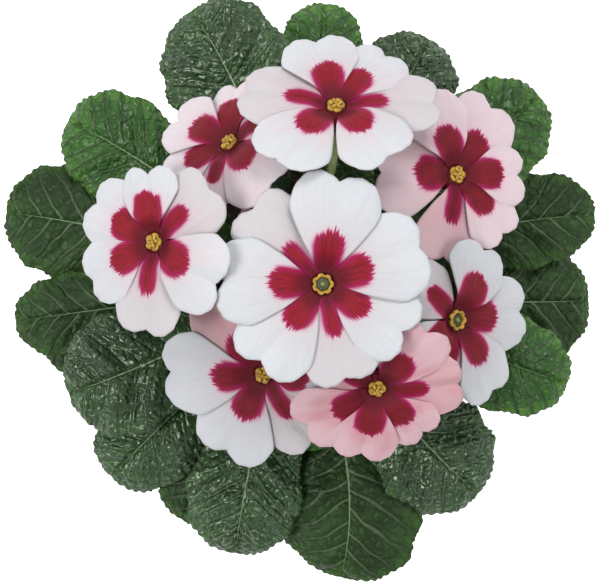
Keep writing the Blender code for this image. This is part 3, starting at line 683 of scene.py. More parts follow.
def petal_paint(nodes, finish_name):
    settings = bpy.context.scene.primrose_bloom
    white, blush, pink = settings.white, settings.blush, settings.pink
    # Painted shade: the white made darker for the lower blooms that lie in the shade of the others.
    soft = shaded(white, 0.94)
    pale = halfway(white, blush)
    inner, outer = {
        "white": (white, white), "soft_white": (soft, soft), "rosy_white": (pale, white),
        "blush": (blush, blush), "pale_blush": (blush, pale), "pink": (pink, halfway(pink, blush)),
    }[finish_name]
    warm_shade = tinted(outer, PETAL_WARM_SHADE)
    full_red = finish_name in ("white", "rosy_white")
    red = settings.scarlet if full_red else halfway(settings.crimson, settings.scarlet)
    form = nodes.form()
    v = nodes.parts(form)["Y"]
    under = nodes.attribute("under")
    reach = nodes.attribute("reach")
    slim = nodes.times(under, -0.45 * settings.ray_width, settings.ray_width)
    star = group_in(nodes, "star_mark", {
        "Form": form, "Seed": nodes.attribute("seed"), "Reach": reach,
        "Width": nodes.times(slim, reach),
    })
    tint = nodes.step(nodes.times(v, 0.3, star["Fold"]), 0.45, 0.85)
    ground = nodes.mix(tint, inner, outer)
    # The fine veins' own faint tint, with painted shade in the creases along them.
    veins_and_crease_shade = nodes.times(nodes.step(star["Streak"], 0.60, 0.25), 0.22)
    ground = nodes.mix(veins_and_crease_shade, ground, tinted(outer, PETAL_SHADOW))
    # Painted shade: duller and warmer towards the petal's base, near the eye.
    ground = nodes.mix(nodes.times(nodes.step(v, 0.85, 0.35), 0.35), ground, warm_shade)
    # Painted shade on the undermost petal, which lies beneath the others.
    ground = nodes.mix(nodes.times(under, 0.42), ground, warm_shade)
    # Painted shade in a dusky rose, on the petals that lie under others.
    flush = nodes.times(nodes.attribute("flush"), nodes.times(star["Fold"], 0.6, 0.5))
    ground = nodes.mix(flush, ground, settings.rose)
    ground = nodes.mix(nodes.times(star["Halo"], 0.40), ground, settings.halo)
    ray = nodes.mix(nodes.step(v, 0.06, 0.27), settings.crimson, red)
    dark_veins = nodes.times(nodes.step(star["Streak"], 0.56, 0.34), 0.75)
    ray = nodes.mix(dark_veins, ray, shaded(settings.crimson, 0.9))
    ray = nodes.mix(star["Core"], settings.magenta, ray)
    return {
        "Base Color": nodes.mix(star["Mark"], ground, ray),
        "Roughness": 0.60,
        "Specular IOR Level": 0.15,
        "Subsurface Weight": 0.10,
        "Subsurface Scale": 0.0010,
        "Normal": nodes.bump(star["Streak"], 0.00018),
    }


def mottled_paint(nodes, form, colour, pale):
    mottle = group_in(nodes, "mottle", {
        "Place": nodes.place(), "Patches": form.patches, "Grains": form.grains,
    })
    return {
        "Base Color": nodes.mix(nodes.step(mottle["Patch"], 0.35, 0.68), colour, pale),
        "Roughness": nodes.times(mottle["Grain"], 0.16, form.roughness - 0.08),
        "Normal": nodes.bump(mottle["Grain"], form.relief),
    }


def mottled_material(name, colour, pale):
    """An uneven natural or moulded surface between two colours."""
    return material_named(name, mottled_paint, MOTTLES[name], colour, pale)


class Spine:
    """A leaf's midrib: upright in its socket, then arching out and over to the tip."""

    def __init__(self, leaf):
        self.roll = math.radians(leaf.roll)
        foot = polar(LEAF_RINGS[leaf.ring], leaf.bearing, CROWN_TOP + FOOT_RISE)
        tip = Vector((*leaf.tip, CREST["tip"] + leaf.level * LEAF_LEVEL))
        way = Vector((tip.x - foot.x, tip.y - foot.y, 0))
        right = Vector((way.y, -way.x, 0)).normalized()
        rise = foot + RISE_REACH * way
        rise.z = CREST["rise"] + leaf.level * LEVEL_RISE
        arch = foot + ARCH_REACH * way + leaf.bow * right
        arch.z = CREST["arch"] + leaf.level * LEVEL_ARCH
        self.socket = Vector((foot.x, foot.y, SOCKET_FLOOR))
        controls = (foot, rise, arch, tip)
        steps = range(LEAF_SPINE_STEPS + 1)
        self.points = [cubic(controls, step / LEAF_SPINE_STEPS) for step in steps]
        lengths = [(b - a).length for a, b in zip(self.points, self.points[1:])]
        self.along = np.concatenate([[0.0], np.cumsum(lengths)])
        self.length = float(self.along[-1])

    def at(self, share):
        """The point at this share of the length, with its sideways and upward directions."""
        reach = share * self.length
        index = int(np.clip(np.searchsorted(self.along, reach) - 1, 0, LEAF_SPINE_STEPS - 1))
        first, second = self.points[index], self.points[index + 1]
        part = (reach - self.along[index]) / (self.along[index + 1] - self.along[index])
        point = first.lerp(second, float(part))
        before = self.points[max(index - 1, 0)]
        after = self.points[min(index + 2, LEAF_SPINE_STEPS)]
        tangent = (after - before).normalized()
        side = Vector((tangent.y, -tangent.x, 0)).normalized()
        side = Matrix.Rotation(self.roll * share, 3, tangent) @ side
        return point, side, side.cross(tangent)


def blade_half_width(leaf, share):
    """Half the blade's width: a narrow wedge that broadens to a round end."""
    share = min(share, 1.0)
    power = 0.5 - 0.1 * share**2
    round_part = leaf.half_width * max(0.0, math.sin(math.pi * share**BLADE_TAPER)) ** power
    return math.hypot(round_part, 0.5 * PETIOLE_WIDTH * (1 - share))


def quilt(leaf, veins, u, v, offset):
    """The bulges between the side veins, from 0 in a vein to 1 on a bulge."""
    wobble = 0.35 * noise.noise(Vector((offset * 90, v * 6, leaf.bearing)))
    rank = veins * v + (0.5 if u > 0 else 0.0) + wobble
    between = abs(math.sin(math.pi * rank)) ** 0.6
    hashed = noise.cell(Vector((math.floor(rank) + 0.5, leaf.bearing + 0.5, 0.5)))
    crossed = abs(math.sin(math.pi * (abs(offset) / QUILT_CELL + hashed))) ** 0.6
    return between * (0.82 + 0.18 * crossed)


def leaf_teeth(leaf, length):
    """The edge's rounded teeth: a function that gives how far they stand out sideways and forward."""
    shares = np.linspace(0.0, 1.0, EDGE_SAMPLES)
    widths = [blade_half_width(leaf, share) for share in shares]
    steps = np.hypot(np.diff(shares) * length, np.diff(widths))
    along = np.concatenate([[0.0], np.cumsum(steps)])
    slopes = np.gradient(widths, shares * length)

    def teeth(share, u):
        run = float(np.interp(share, shares, along)) / TOOTH_PITCH
        side = 7.0 if u > 0 else 0.0
        uneven = noise.noise(Vector((0.45 * run, leaf.bearing, side)))
        tooth = abs(math.sin(math.pi * (run + 0.7 * uneven))) ** 0.7
        depth = TOOTH_DEPTH * (tooth * (1 + uneven) - 0.5)
        slope = float(np.interp(share, shares, slopes))
        straight = math.hypot(1, slope)
        return depth / straight, -depth * slope / straight

    return teeth


def leaf_place(leaf, spine, rows):
    """The leaf's surface. u runs across from -1 to 1 and v from the socket to the tip."""
    puckers = BROAD_PUCKERS if leaf.name in BROADLY_PUCKERED else PUCKERS
    quilting = bpy.context.scene.primrose_leaf.quilting * min(1.0, leaf.relief / FULL_QUILT_RELIEF)
    veins = side_veins(LEAF_FINISHES[leaf.finish])
    teeth = leaf_teeth(leaf, (1 - PETIOLE_SHARE) * spine.length)

    def petiole(u, row):
        share = (row - 1) / (PETIOLE_ROWS - 1) * PETIOLE_SHARE
        point, side, up = spine.at(max(share, 0.0))
        if row < 0.5:
            point = spine.socket
        lift = 0.5 * PETIOLE_THICKNESS * (1 - smooth_step(0.4, 1.3, row / PETIOLE_ROWS))
        cross = math.sin(0.5 * math.pi * u)
        body = 0.30 + 0.70 * math.cos(0.5 * math.pi * u)
        spot = point + side * (cross * PETIOLE_WIDTH / 2) + up * (lift - 0.0002 * (1 - abs(u)))
        return spot, body, ((u + 1) / 2, 0.0)

    def blade(u, v):
        turned_u = math.copysign(abs(u) ** 1.2, u)
        across = abs(turned_u)
        edge = 1 - (1 - v) ** VEIN_SLANT
        share = v + (edge - v) * across
        pucker = -math.cos(2 * math.pi * puckers * v)
        half_width = blade_half_width(leaf, edge) * (1 + CRENATION * pucker * across**4)
        size = half_width / leaf.half_width
        offset = turned_u * half_width
        standing = across**12 * min(1.0, 4 * size)
        aside, forward = teeth(edge, u)
        offset += math.copysign(aside * standing, u)
        rib = max(0.0, 1 - abs(offset) / RIB_REACH)
        wave = math.sin(MARGIN_WAVES * v + leaf.bearing + (2 if u > 0 else 0))
        height = 0.75 * leaf.relief * pucker * math.sin(math.pi * min(across, 0.92)) * size
        height += half_width * (BLADE_RISE * across - BLADE_FALL * across**2)
        height += MARGIN_WAVE * size * across**3 * wave
        height -= MIDRIB_DEPTH * rib + TIP_DROOP * leaf.half_width * v**6
        fade = min(1.0, 2.2 * size) * (1 - 0.5 * across**4)
        height += quilting * fade * (quilt(leaf, veins, u, v, offset) - 0.5) * (1 - rib)
        total = PETIOLE_SHARE + (1 - PETIOLE_SHARE) * share
        point, side, up = spine.at(min(total, 1.0))
        blade_share = BLADE_THICKNESS / PETIOLE_THICKNESS
        body = blade_share + (0.9 - blade_share) * rib * (1 - v) ** 0.7
        point = point + side * offset + up * height + up.cross(side) * forward * standing
        return point, body, ((u + 1) / 2, v)

    def place(u, v):
        row = v * rows
        if row < PETIOLE_ROWS + 0.5:
            return petiole(u, row)
        return blade(u, (row - PETIOLE_ROWS) / (rows - PETIOLE_ROWS))

    return place


def build_leaf(leaf, blade_grid):
    columns, blade_rows = blade_grid
    rows = PETIOLE_ROWS + blade_rows
    material = material_named(f"leaf_{leaf.finish}", leaf_paint, LEAF_FINISHES[leaf.finish])
    place = leaf_place(leaf, Spine(leaf), rows)
    obj = sheet(f"{leaf.name}_blade", (columns, rows), place, PETIOLE_THICKNESS, -1, material)
    finish_piece(obj, "leaf_mid" if leaf.finish == "bright" else "leaf_dark", leaf.name)


def bloom_matrix(bloom):
    """Turns the bloom from face up to its own lean, and puts its eye in place."""
    away = math.radians(bloom.towards)
    axis = Vector((-math.sin(away), math.cos(away), 0))
    return Matrix.Translation(bloom.centre) @ Matrix.Rotation(math.radians(bloom.lean), 4, axis)


def petal_place(petal, seed):
    """A heart-shaped petal in the bloom's own plane, notched and softly folded at its end."""
    phase = 40 * seed
    cleft = 0.06 + 0.06 * seed

    def place(u, v):
        across = abs(u)
        widening = 0.90 + 0.17 * smooth_step(0.0, 0.4, v) - 0.06 * v**2 - 0.11 * v**9
        angle = math.radians(petal.angle) - u * math.radians(petal.spread) * widening
        notch = cleft * max(0.0, 1 - across / 0.38) ** 1.6
        notch += PETAL_SHOULDER * max(0.0, (across - 0.35) / 0.65) ** 2.6
        notch += 0.010 * math.sin(4 * u + phase) + 0.005 * math.sin(25 * u + 2 * phase)
        reach = PETAL_ROOT + (petal.length * (1 - notch * v**3) - PETAL_ROOT) * v
        rise = petal.level * PETAL_LEVEL * smooth_step(0.0, 0.35, v)
        throat = -THROAT_DROP * (1 - smooth_step(0.0, 0.25, v))
        droop = -PETAL_DROOP * v**3 - PETAL_CURL * across**2 * v
        crease = -0.0005 * math.exp(-((u / 0.16) ** 2)) * smooth_step(0.15, 0.9, v)
        fold = 0.00045 * v**2 * math.sin(3.2 * u + phase)
        fold += 0.00055 * v**2 * noise.noise(Vector((2.6 * u, 1.6 * v, phase)))
        fold += 0.00030 * v**2 * noise.noise(Vector((8 * u, 2.2 * v, phase)))
        point = Vector((reach * math.cos(angle), reach * math.sin(angle), 0))
        point.z = rise + throat + droop + crease + fold
        return point, 1.0, ((u + 1) / 2, v)

    return place


def stamp(mesh, numbers):
    """Gives every point of the mesh the same named numbers, which its finish varies by."""
    for name, value in numbers.items():
        layer = mesh.attributes.new(name, "FLOAT", "POINT")
        layer.data.foreach_set("value", [value] * len(mesh.vertices))


def build_throat(name, material):
    """The corolla's tube and the low boss that the eye sits on."""
    bm = bmesh.new()
    uv = bm.loops.layers.uv.new("form")
    floor = THROAT_FLOOR
    profile = (
        (0.0, floor), (0.0026, floor), (0.0034, floor - 0.0003), (0.0042, floor - 0.0008),
        (0.0045, floor - 0.0012), (0.0040, floor - 0.0018), (0.0028, -0.0042),
        (TUBE_RADIUS * 1.08, -0.0060), (TUBE_RADIUS, -0.0075), (TUBE_RADIUS, -TUBE_LENGTH),
        (0.0, -TUBE_LENGTH),
    )
    spun(bm, profile, THROAT_STEPS)
    map_form(bm, uv, lambda vert: (0.5, 0.06))
    obj = object_from_bmesh(name, bm, material)
    stamp(obj.data, {"seed": 0.5, "under": 0.0, "flush": 0.0, "reach": 0.45})
    return obj


def build_corolla(number, bloom, draw):
    material = material_named(f"corolla_{bloom.finish}", petal_paint, bloom.finish)
    parts = [build_throat("throat", material)]
    lowest = min(petal.level for petal in bloom.petals)
    ray_reach = bpy.context.scene.primrose_bloom.ray_reach
    for petal in bloom.petals:
        seed = draw.random()
        part = sheet("petal", PETAL_GRID, petal_place(petal, seed), PETAL_THICKNESS, 0, material)
        stamp(part.data, {
            "seed": seed, "under": float(petal.level == lowest), "reach": ray_reach / petal.length,
            # How deep the painted rose shade lies on this petal.
            "flush": ROSE_SHADE_DEPTHS.get((number, petal.angle), 0.0),
        })
        parts.append(part)
    corolla = joined(f"bloom_{number}_corolla", parts)
    corolla.data.transform(bloom_matrix(bloom))
    slot = "petal_" + bloom.finish.split("_")[-1]
    finish_piece(corolla, slot, f"bloom_{number}_petals")


def gold_material():
    gold = bpy.context.scene.primrose_bloom.gold
    return mottled_material("golden_lobes", shaded(gold, 0.70), shaded(gold, 1.25))


def lobed_disc(name, profile, lobes, depth, material):
    """A spun form with its outer part drawn into round lobes."""
    bm = bmesh.new()
    spun(bm, profile, 16 * lobes)
    for vert in bm.verts:
        radius = vert.co.xy.length
        lobe = abs(math.cos(0.5 * lobes * math.atan2(vert.co.y, vert.co.x))) ** 0.7
        share = smooth_step(0.0012, 0.0026, radius)
        vert.co.xy *= 1 - depth * share * (1 - lobe)
        vert.co.z -= 0.0003 * share * (1 - lobe)
    return object_from_bmesh(name, bm, material)


def ball(name, place, size, material, turn=0.0):
    bm = bmesh.new()
    matrix = Matrix.Translation(place) @ Matrix.Rotation(math.radians(turn), 4, "Z")
    matrix = matrix @ Matrix.Diagonal((*size, 1))
    bmesh.ops.create_uvsphere(bm, u_segments=20, v_segments=12, radius=1.0, matrix=matrix)
    return object_from_bmesh(name, bm, material)


def open_eye():
    """A thin lobed gold ring round an olive throat, with the round green stigma in it."""
    floor = THROAT_FLOOR + GAP
    ring = (
        (0.0, -0.0006), (0.0019, -0.0006), (0.0020, 0.0001), (0.0023, 0.0006), (0.0027, 0.0006),
        (EYE_RADIUS, 0.0002), (EYE_RADIUS - 0.0001, floor), (0.0, floor),
    )
    cup = ((0.0, -0.0003), (0.0012, -0.0003), (0.0019, -0.0002), (0.0019, -0.0005), (0.0, -0.0005))
    gold = gold_material()
    olive = mottled_material("olive_throat", (0.018, 0.020, 0.004), (0.050, 0.050, 0.012))
    green = mottled_material("stigma_green", (0.08, 0.11, 0.025), (0.15, 0.18, 0.05))
    return [
        lobed_disc("ring", ring, RING_LOBES, 0.20, gold),
        lobed_disc("cup", cup, RING_LOBES, 0.20, olive),
        ball("stigma", (0, 0, -0.0001), (0.0008, 0.0008, 0.0007), green),
    ]


def filled_eye(draw):
    """A cluster of gold anthers that fills the throat."""
    floor = THROAT_FLOOR + GAP
    gold = gold_material()
    rim = (
        (0.0, -0.0005), (0.0016, -0.0003), (0.0021, -0.0001), (0.0025, -0.0003), (0.0026, floor),
        (0.0, floor),
    )
    parts = [lobed_disc("rim", rim, CLUSTER_LOBES, 0.24, gold)]
    for index in range(ANTHERS):
        angle = index * 360 / ANTHERS + draw.uniform(-12, 12)
        place = polar(draw.uniform(0.0010, 0.0014), angle, draw.uniform(0.0000, 0.0004))
        size = (draw.uniform(0.0007, 0.0009), draw.uniform(0.0004, 0.0005), 0.0005)
        parts.append(ball("anther", place, size, gold, angle + draw.uniform(-35, 35)))
    parts.append(ball("anther", (0.0001, 0, 0.0003), (0.0005, 0.0005, 0.0005), gold))
    return parts


def build_eye(number, bloom, draw):
    parts = open_eye() if bloom.eye == "ring" else filled_eye(draw)
    eye = joined(f"bloom_{number}_eye_lobes", parts)
    eye.data.transform(bloom_matrix(bloom))
    finish_piece(eye, "eye_gold", f"bloom_{number}_eye")


def stalk_material():
    return mottled_material("stalk_skin", (0.13, 0.22, 0.055), (0.22, 0.30, 0.10))


def calyx(form):
    """A ribbed green cup round the foot of the tube, with pointed teeth at its mouth."""
    bm = bmesh.new()
    floor = -form.tube_length - GAP
    bottom = -form.tube_length - CALYX_BASE
    mouth = bottom + CALYX_HEIGHT
    inner = form.tube_radius + GAP
    belly = bottom + 0.40 * CALYX_HEIGHT
    profile = (
        (0.0, floor), (inner, floor), (inner, mouth), (form.cup, mouth),
        (form.cup * 0.99, (mouth + belly) / 2), (form.cup, belly),
        (form.cup * 0.86, bottom + 0.20 * CALYX_HEIGHT),
        (form.cup * 0.55, bottom + 0.06 * CALYX_HEIGHT), (0.0, bottom),
    )
    spun(bm, profile, 10 * CALYX_TEETH)
    for vert in bm.verts:
        turn = CALYX_TEETH * math.atan2(vert.co.y, vert.co.x)
        point = 0.5 + 0.5 * math.cos(turn)
        if vert.co.z > mouth - GAP:
            vert.co.z += (2 * point**1.5 - 1) * CALYX_TOOTH
            vert.co.xy *= 1 + CALYX_FLARE * point
        elif vert.co.xy.length > inner + GAP:
            vert.co.xy *= 1 - 0.07 * (1 - point) ** 2
    return object_from_bmesh("calyx", bm, stalk_material())


def tube_along(name, points, radius, material):
    """A round stalk along these points, with closed ends."""
    curve = bpy.data.curves.new(name, "CURVE")
    curve.dimensions = "3D"
    curve.bevel_depth = radius
    curve.bevel_resolution = 4
    curve.use_fill_caps = True
    spline = curve.splines.new("POLY")
    spline.points.add(len(points) - 1)
    for knot, point in zip(spline.points, points):
        knot.co = (*point, 1.0)
    guide = placed(name, curve)
    evaluated = guide.evaluated_get(bpy.context.evaluated_depsgraph_get())
    mesh = bpy.data.meshes.new_from_object(evaluated)
    bpy.data.objects.remove(guide)
    bm = bmesh.new()
    bm.from_mesh(mesh)
    bmesh.ops.remove_doubles(bm, verts=bm.verts, dist=MERGE_DISTANCE)
    return object_from_bmesh(name, bm, material)


def hairs_along(points, radius, draw):
    """Fine soft hairs standing out all round a stalk."""
    bm = bmesh.new()
    for _ in range(HAIRS):
        index = draw.randint(2, len(points) - 2)
        spot = points[index].lerp(points[index + 1], draw.random())
        along = (points[index + 1] - points[index]).normalized()
        out = Matrix.Rotation(draw.uniform(0, 2 * math.pi), 3, along) @ along.orthogonal()
        out = (out.normalized() + 0.25 * along).normalized()
        length = draw.uniform(*HAIR_LENGTHS)
        turn = out.to_track_quat("Z", "Y").to_matrix().to_4x4()
        matrix = Matrix.Translation(spot + out * (radius + 0.42 * length)) @ turn
        bmesh.ops.create_cone(
            bm, cap_ends=True, segments=3, radius1=HAIR_RADIUS, radius2=HAIR_RADIUS / 5,
            depth=length, matrix=matrix
        )
    pale = mottled_material("stalk_hair", (0.42, 0.46, 0.30), (0.55, 0.58, 0.42))
    return object_from_bmesh("hairs", bm, pale)


def build_stalk(name, flower, form, draw):
    """The stalk with its calyx and hairs, as one green piece."""
    matrix = bloom_matrix(flower)
    cup = calyx(form)
    cup.data.transform(matrix)
    head = matrix @ Vector((0, 0, -form.tube_length - CALYX_BASE / 2))
    axis = (matrix.to_3x3() @ Vector((0, 0, 1))).normalized()
    foot = polar(form.ring, flower.socket, CROWN_TOP + FOOT_RISE)
    rise = Vector((foot.x, foot.y, foot.z + STALK_UPRIGHT * (head.z - foot.z)))
    controls = (foot, rise, head - STALK_NECK * axis, head)
    points = [Vector((foot.x, foot.y, SOCKET_FLOOR))]
    points += [cubic(controls, step / STALK_STEPS) for step in range(STALK_STEPS + 1)]
    tube = tube_along("stalk", points, form.radius, stalk_material())
    stalk = joined(f"{name}_stem", [cup, tube, hairs_along(points, form.radius, draw)])
    finish_piece(stalk, "stalk_green", f"{name}_stalk")


def build_bud(number, bud):
    """Petals still rolled into a narrow twisted point."""
    bm = bmesh.new()
    waist = BUD_STALK.tube_radius / 1.1 / BUD_RADIUS
    shares = (
        (0.0, 0.0), (0.28, 0.015), (0.55, 0.07), (0.86, 0.16), (1.0, 0.25), (0.80, 0.36),
        (waist, 0.44), (waist, 1.0), (0.0, 1.0),
    )
    profile = [(BUD_RADIUS * radius, -BUD_LENGTH * depth) for radius, depth in shares]
    spun(bm, profile, BUD_STEPS)
    for vert in bm.verts:
        ridge = 1 + 0.11 * math.cos(5 * math.atan2(vert.co.y, vert.co.x))
        turn = Matrix.Rotation(3.2 * vert.co.z / BUD_LENGTH, 3, "Z")
        vert.co = turn @ Vector((vert.co.x * ridge, vert.co.y * ridge, vert.co.z))
    pink = bpy.context.scene.primrose_bloom.pink
    material = mottled_material("rolled_rose", shaded(pink, 0.75), pink)
    petals = object_from_bmesh(f"bud_{number}_rolled_petals", bm, material)
    petals.data.transform(bloom_matrix(bud))
    finish_piece(petals, "bud_rose", f"bud_{number}_petals")


def pot_profile():
    """Down the outer side from the lip, across the foot, and back up the inner side."""
    body_radius = POT_RIM_RADIUS - POT_RIM_STEP
    rim_bottom = POT_HEIGHT - POT_RIM_HEIGHT
    inner_top = POT_RIM_RADIUS - POT_WALL
    inner_step = body_radius - POT_WALL
    middle = (inner_top + POT_RIM_RADIUS) / 2
    ease = 0.0005
    return (
        (middle, POT_HEIGHT),
        (POT_RIM_RADIUS - ease, POT_HEIGHT - 0.0001), (POT_RIM_RADIUS, POT_HEIGHT - 2 * ease),
        (POT_RIM_RADIUS - ease, rim_bottom + ease), (POT_RIM_RADIUS - 2 * ease, rim_bottom),
        (body_radius + ease, rim_bottom), (body_radius, rim_bottom - ease),
        (POT_FOOT_RADIUS + ease, 2 * ease), (POT_FOOT_RADIUS - 0.0001, 0.0001),
        (POT_FOOT_RADIUS - ease, 0.0), (0.0, 0.0), (0.0, POT_FLOOR),
        (POT_FOOT_RADIUS - POT_WALL, POT_FLOOR), (inner_step, rim_bottom + 2 * ease),
        (inner_top, rim_bottom + 6 * ease), (inner_top, POT_HEIGHT - ease),
        (inner_top + 0.0002, POT_HEIGHT - 0.0001), (middle, POT_HEIGHT),
    )


def cut_drains(pot):
    """Cuts the round drain holes through the floor."""
    bm = bmesh.new()
    for index in range(DRAIN_HOLES):
        centre = polar(DRAIN_RING_RADIUS, 45 + index * 360 / DRAIN_HOLES, POT_FLOOR / 2)
        bmesh.ops.create_cone(
            bm, cap_ends=True, segments=32, radius1=DRAIN_HOLE_RADIUS, radius2=DRAIN_HOLE_RADIUS,
            depth=3 * POT_FLOOR, matrix=Matrix.Translation(centre)
        )
    cutter = object_from_bmesh("drains", bm, pot.data.materials[0])
    cut = pot.modifiers.new("drains", "BOOLEAN")
    cut.operation = "DIFFERENCE"
    cut.solver = "EXACT"
    cut.object = cutter
    apply_modifiers(pot)
    bpy.data.objects.remove(cutter)


def pot_inner_radius(height):
    """The radius of the pot's inner wall below the rim's step."""
    bottom = POT_FOOT_RADIUS - POT_WALL
    top = POT_RIM_RADIUS - POT_RIM_STEP - POT_WALL
    share = (height - POT_FLOOR) / (POT_HEIGHT - POT_RIM_HEIGHT + 0.0010 - POT_FLOOR)
    return bottom + (top - bottom) * share


def soil_profile():
    """Down from the crown's hole, out over the crumbly top, and down the pot's wall."""
    bottom = POT_FLOOR + GAP
    hole = CROWN_RADIUS + GAP
    edge_top = SOIL_TOP - SOIL_MOUND
    outer = pot_inner_radius(edge_top) - 1.5 * GAP
    top = []
    for step in range(SOIL_RINGS + 1):
        share = step / SOIL_RINGS
        top.append((hole + (outer - hole) * share, SOIL_TOP - SOIL_MOUND * share**2))
    return [(0.0, CROWN_BOTTOM - GAP), (hole, CROWN_BOTTOM - GAP), *top,
            (pot_inner_radius(bottom) - 1.5 * GAP, bottom), (0.0, bottom)]


def for_each_flower(flowers, build, seed):
    """Runs build(number, flower, draw) on each flower, with one run of random numbers for all."""
    draw = random.Random(seed)
    for number, flower in enumerate(flowers, 1):
        build(number, flower, draw)


class PieceOperator:
    """What the building operators share."""

    bl_options = {"REGISTER", "UNDO"}


class PRIMROSE_OT_pot(PieceOperator, bpy.types.Operator):
    """Turn the plain nursery pot and cut its drain holes"""

    bl_idname = "primrose.pot"
    bl_label = "Pot"

    def execute(self, context):
        plastic = context.scene.primrose_pot.plastic
        material = mottled_material("moulded_plastic", shaded(plastic, 0.93), shaded(plastic, 1.07))
        bm = bmesh.new()
        spun(bm, pot_profile(), POT_STEPS)
        pot = object_from_bmesh("pot_shell", bm, material)
        cut_drains(pot)
        finish_piece(pot, "pot_plastic", "pot")
        pot.data.set_sharp_from_angle(angle=math.radians(POT_SHARP))
        return {"FINISHED"}


class PRIMROSE_OT_soil(PieceOperator, bpy.types.Operator):
    """Fill the pot with crumbly peat"""

    bl_idname = "primrose.soil"
    bl_label = "Soil"

    def execute(self, context):
        settings = context.scene.primrose_pot
        bm = bmesh.new()
        spun(bm, soil_profile(), SOIL_STEPS)
        lowest = SOIL_TOP - SOIL_MOUND - SOIL_PLAIN_EDGE
        for vert in bm.verts:
            if vert.co.z >= lowest and vert.co.xy.length >= CROWN_RADIUS + SOIL_PLAIN_EDGE:
                crumbs = noise.fractal(vert.co * CRUMBS_PER_METRE, 1.0, 2.0, 3)
                vert.co.z += settings.crumb * max(-1.0, min(1.0, crumbs))
        peat = settings.peat
        material = mottled_material("peat_crumbs", shaded(peat, 0.6), shaded(peat, 2.4))
        soil = object_from_bmesh("soil_crumbs", bm, material)
        finish_piece(soil, "peat", "soil")
        soil.data.set_sharp_from_angle(angle=math.radians(SOIL_SHARP))
        return {"FINISHED"}


class PRIMROSE_OT_crown(PieceOperator, bpy.types.Operator):
    """Give the rootstock its rough, scaly finish"""

    bl_idname = "primrose.crown"
    bl_label = "Crown"

    def execute(self, context):
        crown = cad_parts["crown"]
        crown.data.materials.clear()
        crown.data.materials.append(
            mottled_material("crown_bark", (0.10, 0.085, 0.035), (0.17, 0.20, 0.06))
        )
        return {"FINISHED"}


class PRIMROSE_OT_leaves(PieceOperator, bpy.types.Operator):
    """Build the rings of large puckered leaves, and the young leaves under the blooms"""

    bl_idname = "primrose.leaves"
    bl_label = "Leaves"

    def execute(self, context):
        for leaf in LEAVES:
            build_leaf(leaf, YOUNG_LEAF_GRID if leaf.name.startswith("young") else LEAF_GRID)
        return {"FINISHED"}


class PRIMROSE_OT_corollas(PieceOperator, bpy.types.Operator):
    """Build the petals of every bloom, with the dark star on them"""

    bl_idname = "primrose.corollas"
    bl_label = "Petals"

    def execute(self, context):
        for_each_flower(BLOOMS, build_corolla, PETAL_SEED)
        return {"FINISHED"}


class PRIMROSE_OT_eyes(PieceOperator, bpy.types.Operator):
    """Build the yellow eye of every bloom"""

    bl_idname = "primrose.eyes"
    bl_label = "Eyes"

    def execute(self, context):
        for_each_flower(BLOOMS, build_eye, EYE_SEED)
        return {"FINISHED"}


class PRIMROSE_OT_stalks(PieceOperator, bpy.types.Operator):
    """Build the hairy stalks with their calyces"""

    bl_idname = "primrose.stalks"
    bl_label = "Stalks"

    def execute(self, context):
        draw = random.Random(STALK_SEED)
        for kind, flowers, form in (("bloom", BLOOMS, BLOOM_STALK), ("bud", BUDS, BUD_STALK)):
            for number, flower in enumerate(flowers, 1):
                build_stalk(f"{kind}_{number}", flower, form, draw)
        return {"FINISHED"}


class PRIMROSE_OT_buds(PieceOperator, bpy.types.Operator):
    """Build the rolled petals of the buds"""

    bl_idname = "primrose.buds"
    bl_label = "Buds"

    def execute(self, context):
        for number, bud in enumerate(BUDS, 1):
            build_bud(number, bud)
        return {"FINISHED"}


def floor_paint(nodes, pale):
    return {"Base Color": pale, "Roughness": 0.9, "Emission Color": pale, "Emission Strength": 0.5}


def area_light(name, power, size, place):
    """A square soft light that shines on the middle of the plant."""
    light = bpy.data.lights.new(name, "AREA")
    light.energy = power
    light.shape = "SQUARE"
    light.size = size
    obj = placed(name, light)
    obj.location = place
    obj.rotation_euler = (PLANT_MIDDLE - Vector(place)).to_track_quat("-Z", "Y").to_euler()


def studio_world():
    """Soft pale light from all round, weaker from straight overhead."""
    world = bpy.data.worlds.new("studio")
    world.use_nodes = True
    sky = Nodes(world.node_tree)
    upward = sky.add("ShaderNodeTexCoord").outputs["Generated"]
    overhead = sky.step(sky.parts(upward)["Z"], 0.60, 0.88)
    sky.feed(world.node_tree.nodes["Background"], {
        "Color": (0.95, 0.98, 1.0, 1.0), "Strength": sky.times(overhead, -0.60, 0.75),
    })
    return world


def camera_above(settings):
    """A camera that looks straight down, a pixel off centre as in the photo."""
    camera = bpy.data.cameras.new("above")
    camera.lens = settings.lens
    camera.clip_start = 0.01
    camera.shift_y = -1 / PICTURE_WIDTH
    view = placed("above", camera)
    view.location = (0.0, 0.0, settings.camera_height)
    return view


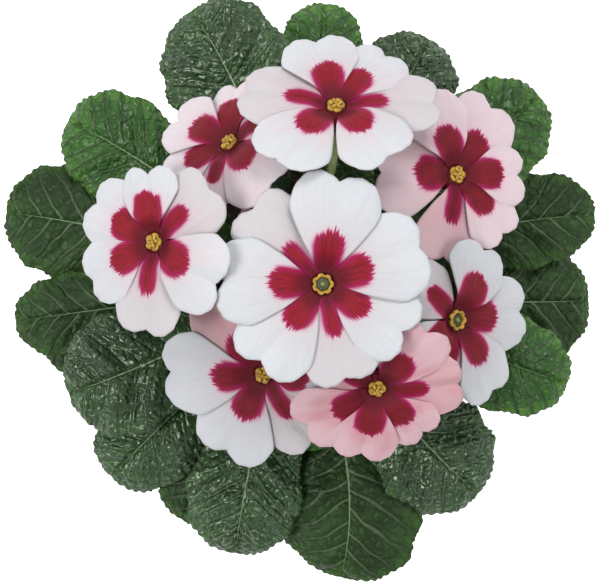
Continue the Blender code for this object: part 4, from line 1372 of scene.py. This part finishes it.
class PRIMROSE_OT_stage(PieceOperator, bpy.types.Operator):
    """Set the pale floor, the soft lights and the camera that looks straight down"""

    bl_idname = "primrose.stage"
    bl_label = "Stage"

    def execute(self, context):
        scene = context.scene
        settings = scene.primrose_stage
        bm = bmesh.new()
        bmesh.ops.create_grid(bm, x_segments=1, y_segments=1, size=FLOOR_REACH)
        material = material_named("floor", floor_paint, opaque(settings.floor))
        object_from_bmesh("floor", bm, material)
        for name, (width, place) in LIGHTS.items():
            area_light(name, getattr(settings, f"{name}_power"), width, place)
        scene.world = studio_world()
        scene.camera = camera_above(settings)
        scene.view_settings.view_transform = "Standard"
        return {"FINISHED"}


STEPS = (
    PRIMROSE_OT_pot, PRIMROSE_OT_soil, PRIMROSE_OT_crown, PRIMROSE_OT_leaves, PRIMROSE_OT_corollas,
    PRIMROSE_OT_eyes, PRIMROSE_OT_stalks, PRIMROSE_OT_buds, PRIMROSE_OT_stage,
)
SETTINGS = {
    "primrose_leaf": LeafSettings, "primrose_bloom": BloomSettings, "primrose_pot": PotSettings,
    "primrose_stage": StageSettings,
}


class PRIMROSE_PT_panel(bpy.types.Panel):
    """The primrose's settings and building steps"""

    bl_idname = "PRIMROSE_PT_panel"
    bl_label = "Potted primrose"
    bl_space_type = "VIEW_3D"
    bl_region_type = "UI"
    bl_category = "Primrose"

    def draw(self, context):
        for name, group in SETTINGS.items():
            box = self.layout.box()
            for setting in group.__annotations__:
                box.prop(getattr(context.scene, name), setting)
        for step in STEPS:
            self.layout.operator(step.bl_idname)


CLASSES = (*SETTINGS.values(), *STEPS, PRIMROSE_PT_panel)


def register():
    for cls in CLASSES:
        bpy.utils.register_class(cls)
    for name, group in SETTINGS.items():
        setattr(bpy.types.Scene, name, bpy.props.PointerProperty(type=group))


def unregister():
    for name in SETTINGS:
        delattr(bpy.types.Scene, name)
    for cls in reversed(CLASSES):
        bpy.utils.unregister_class(cls)


def main():
    register()
    for step in STEPS:
        area, name = step.bl_idname.split(".")
        getattr(getattr(bpy.ops, area), name)()


if __name__ == "__main__":
    main()
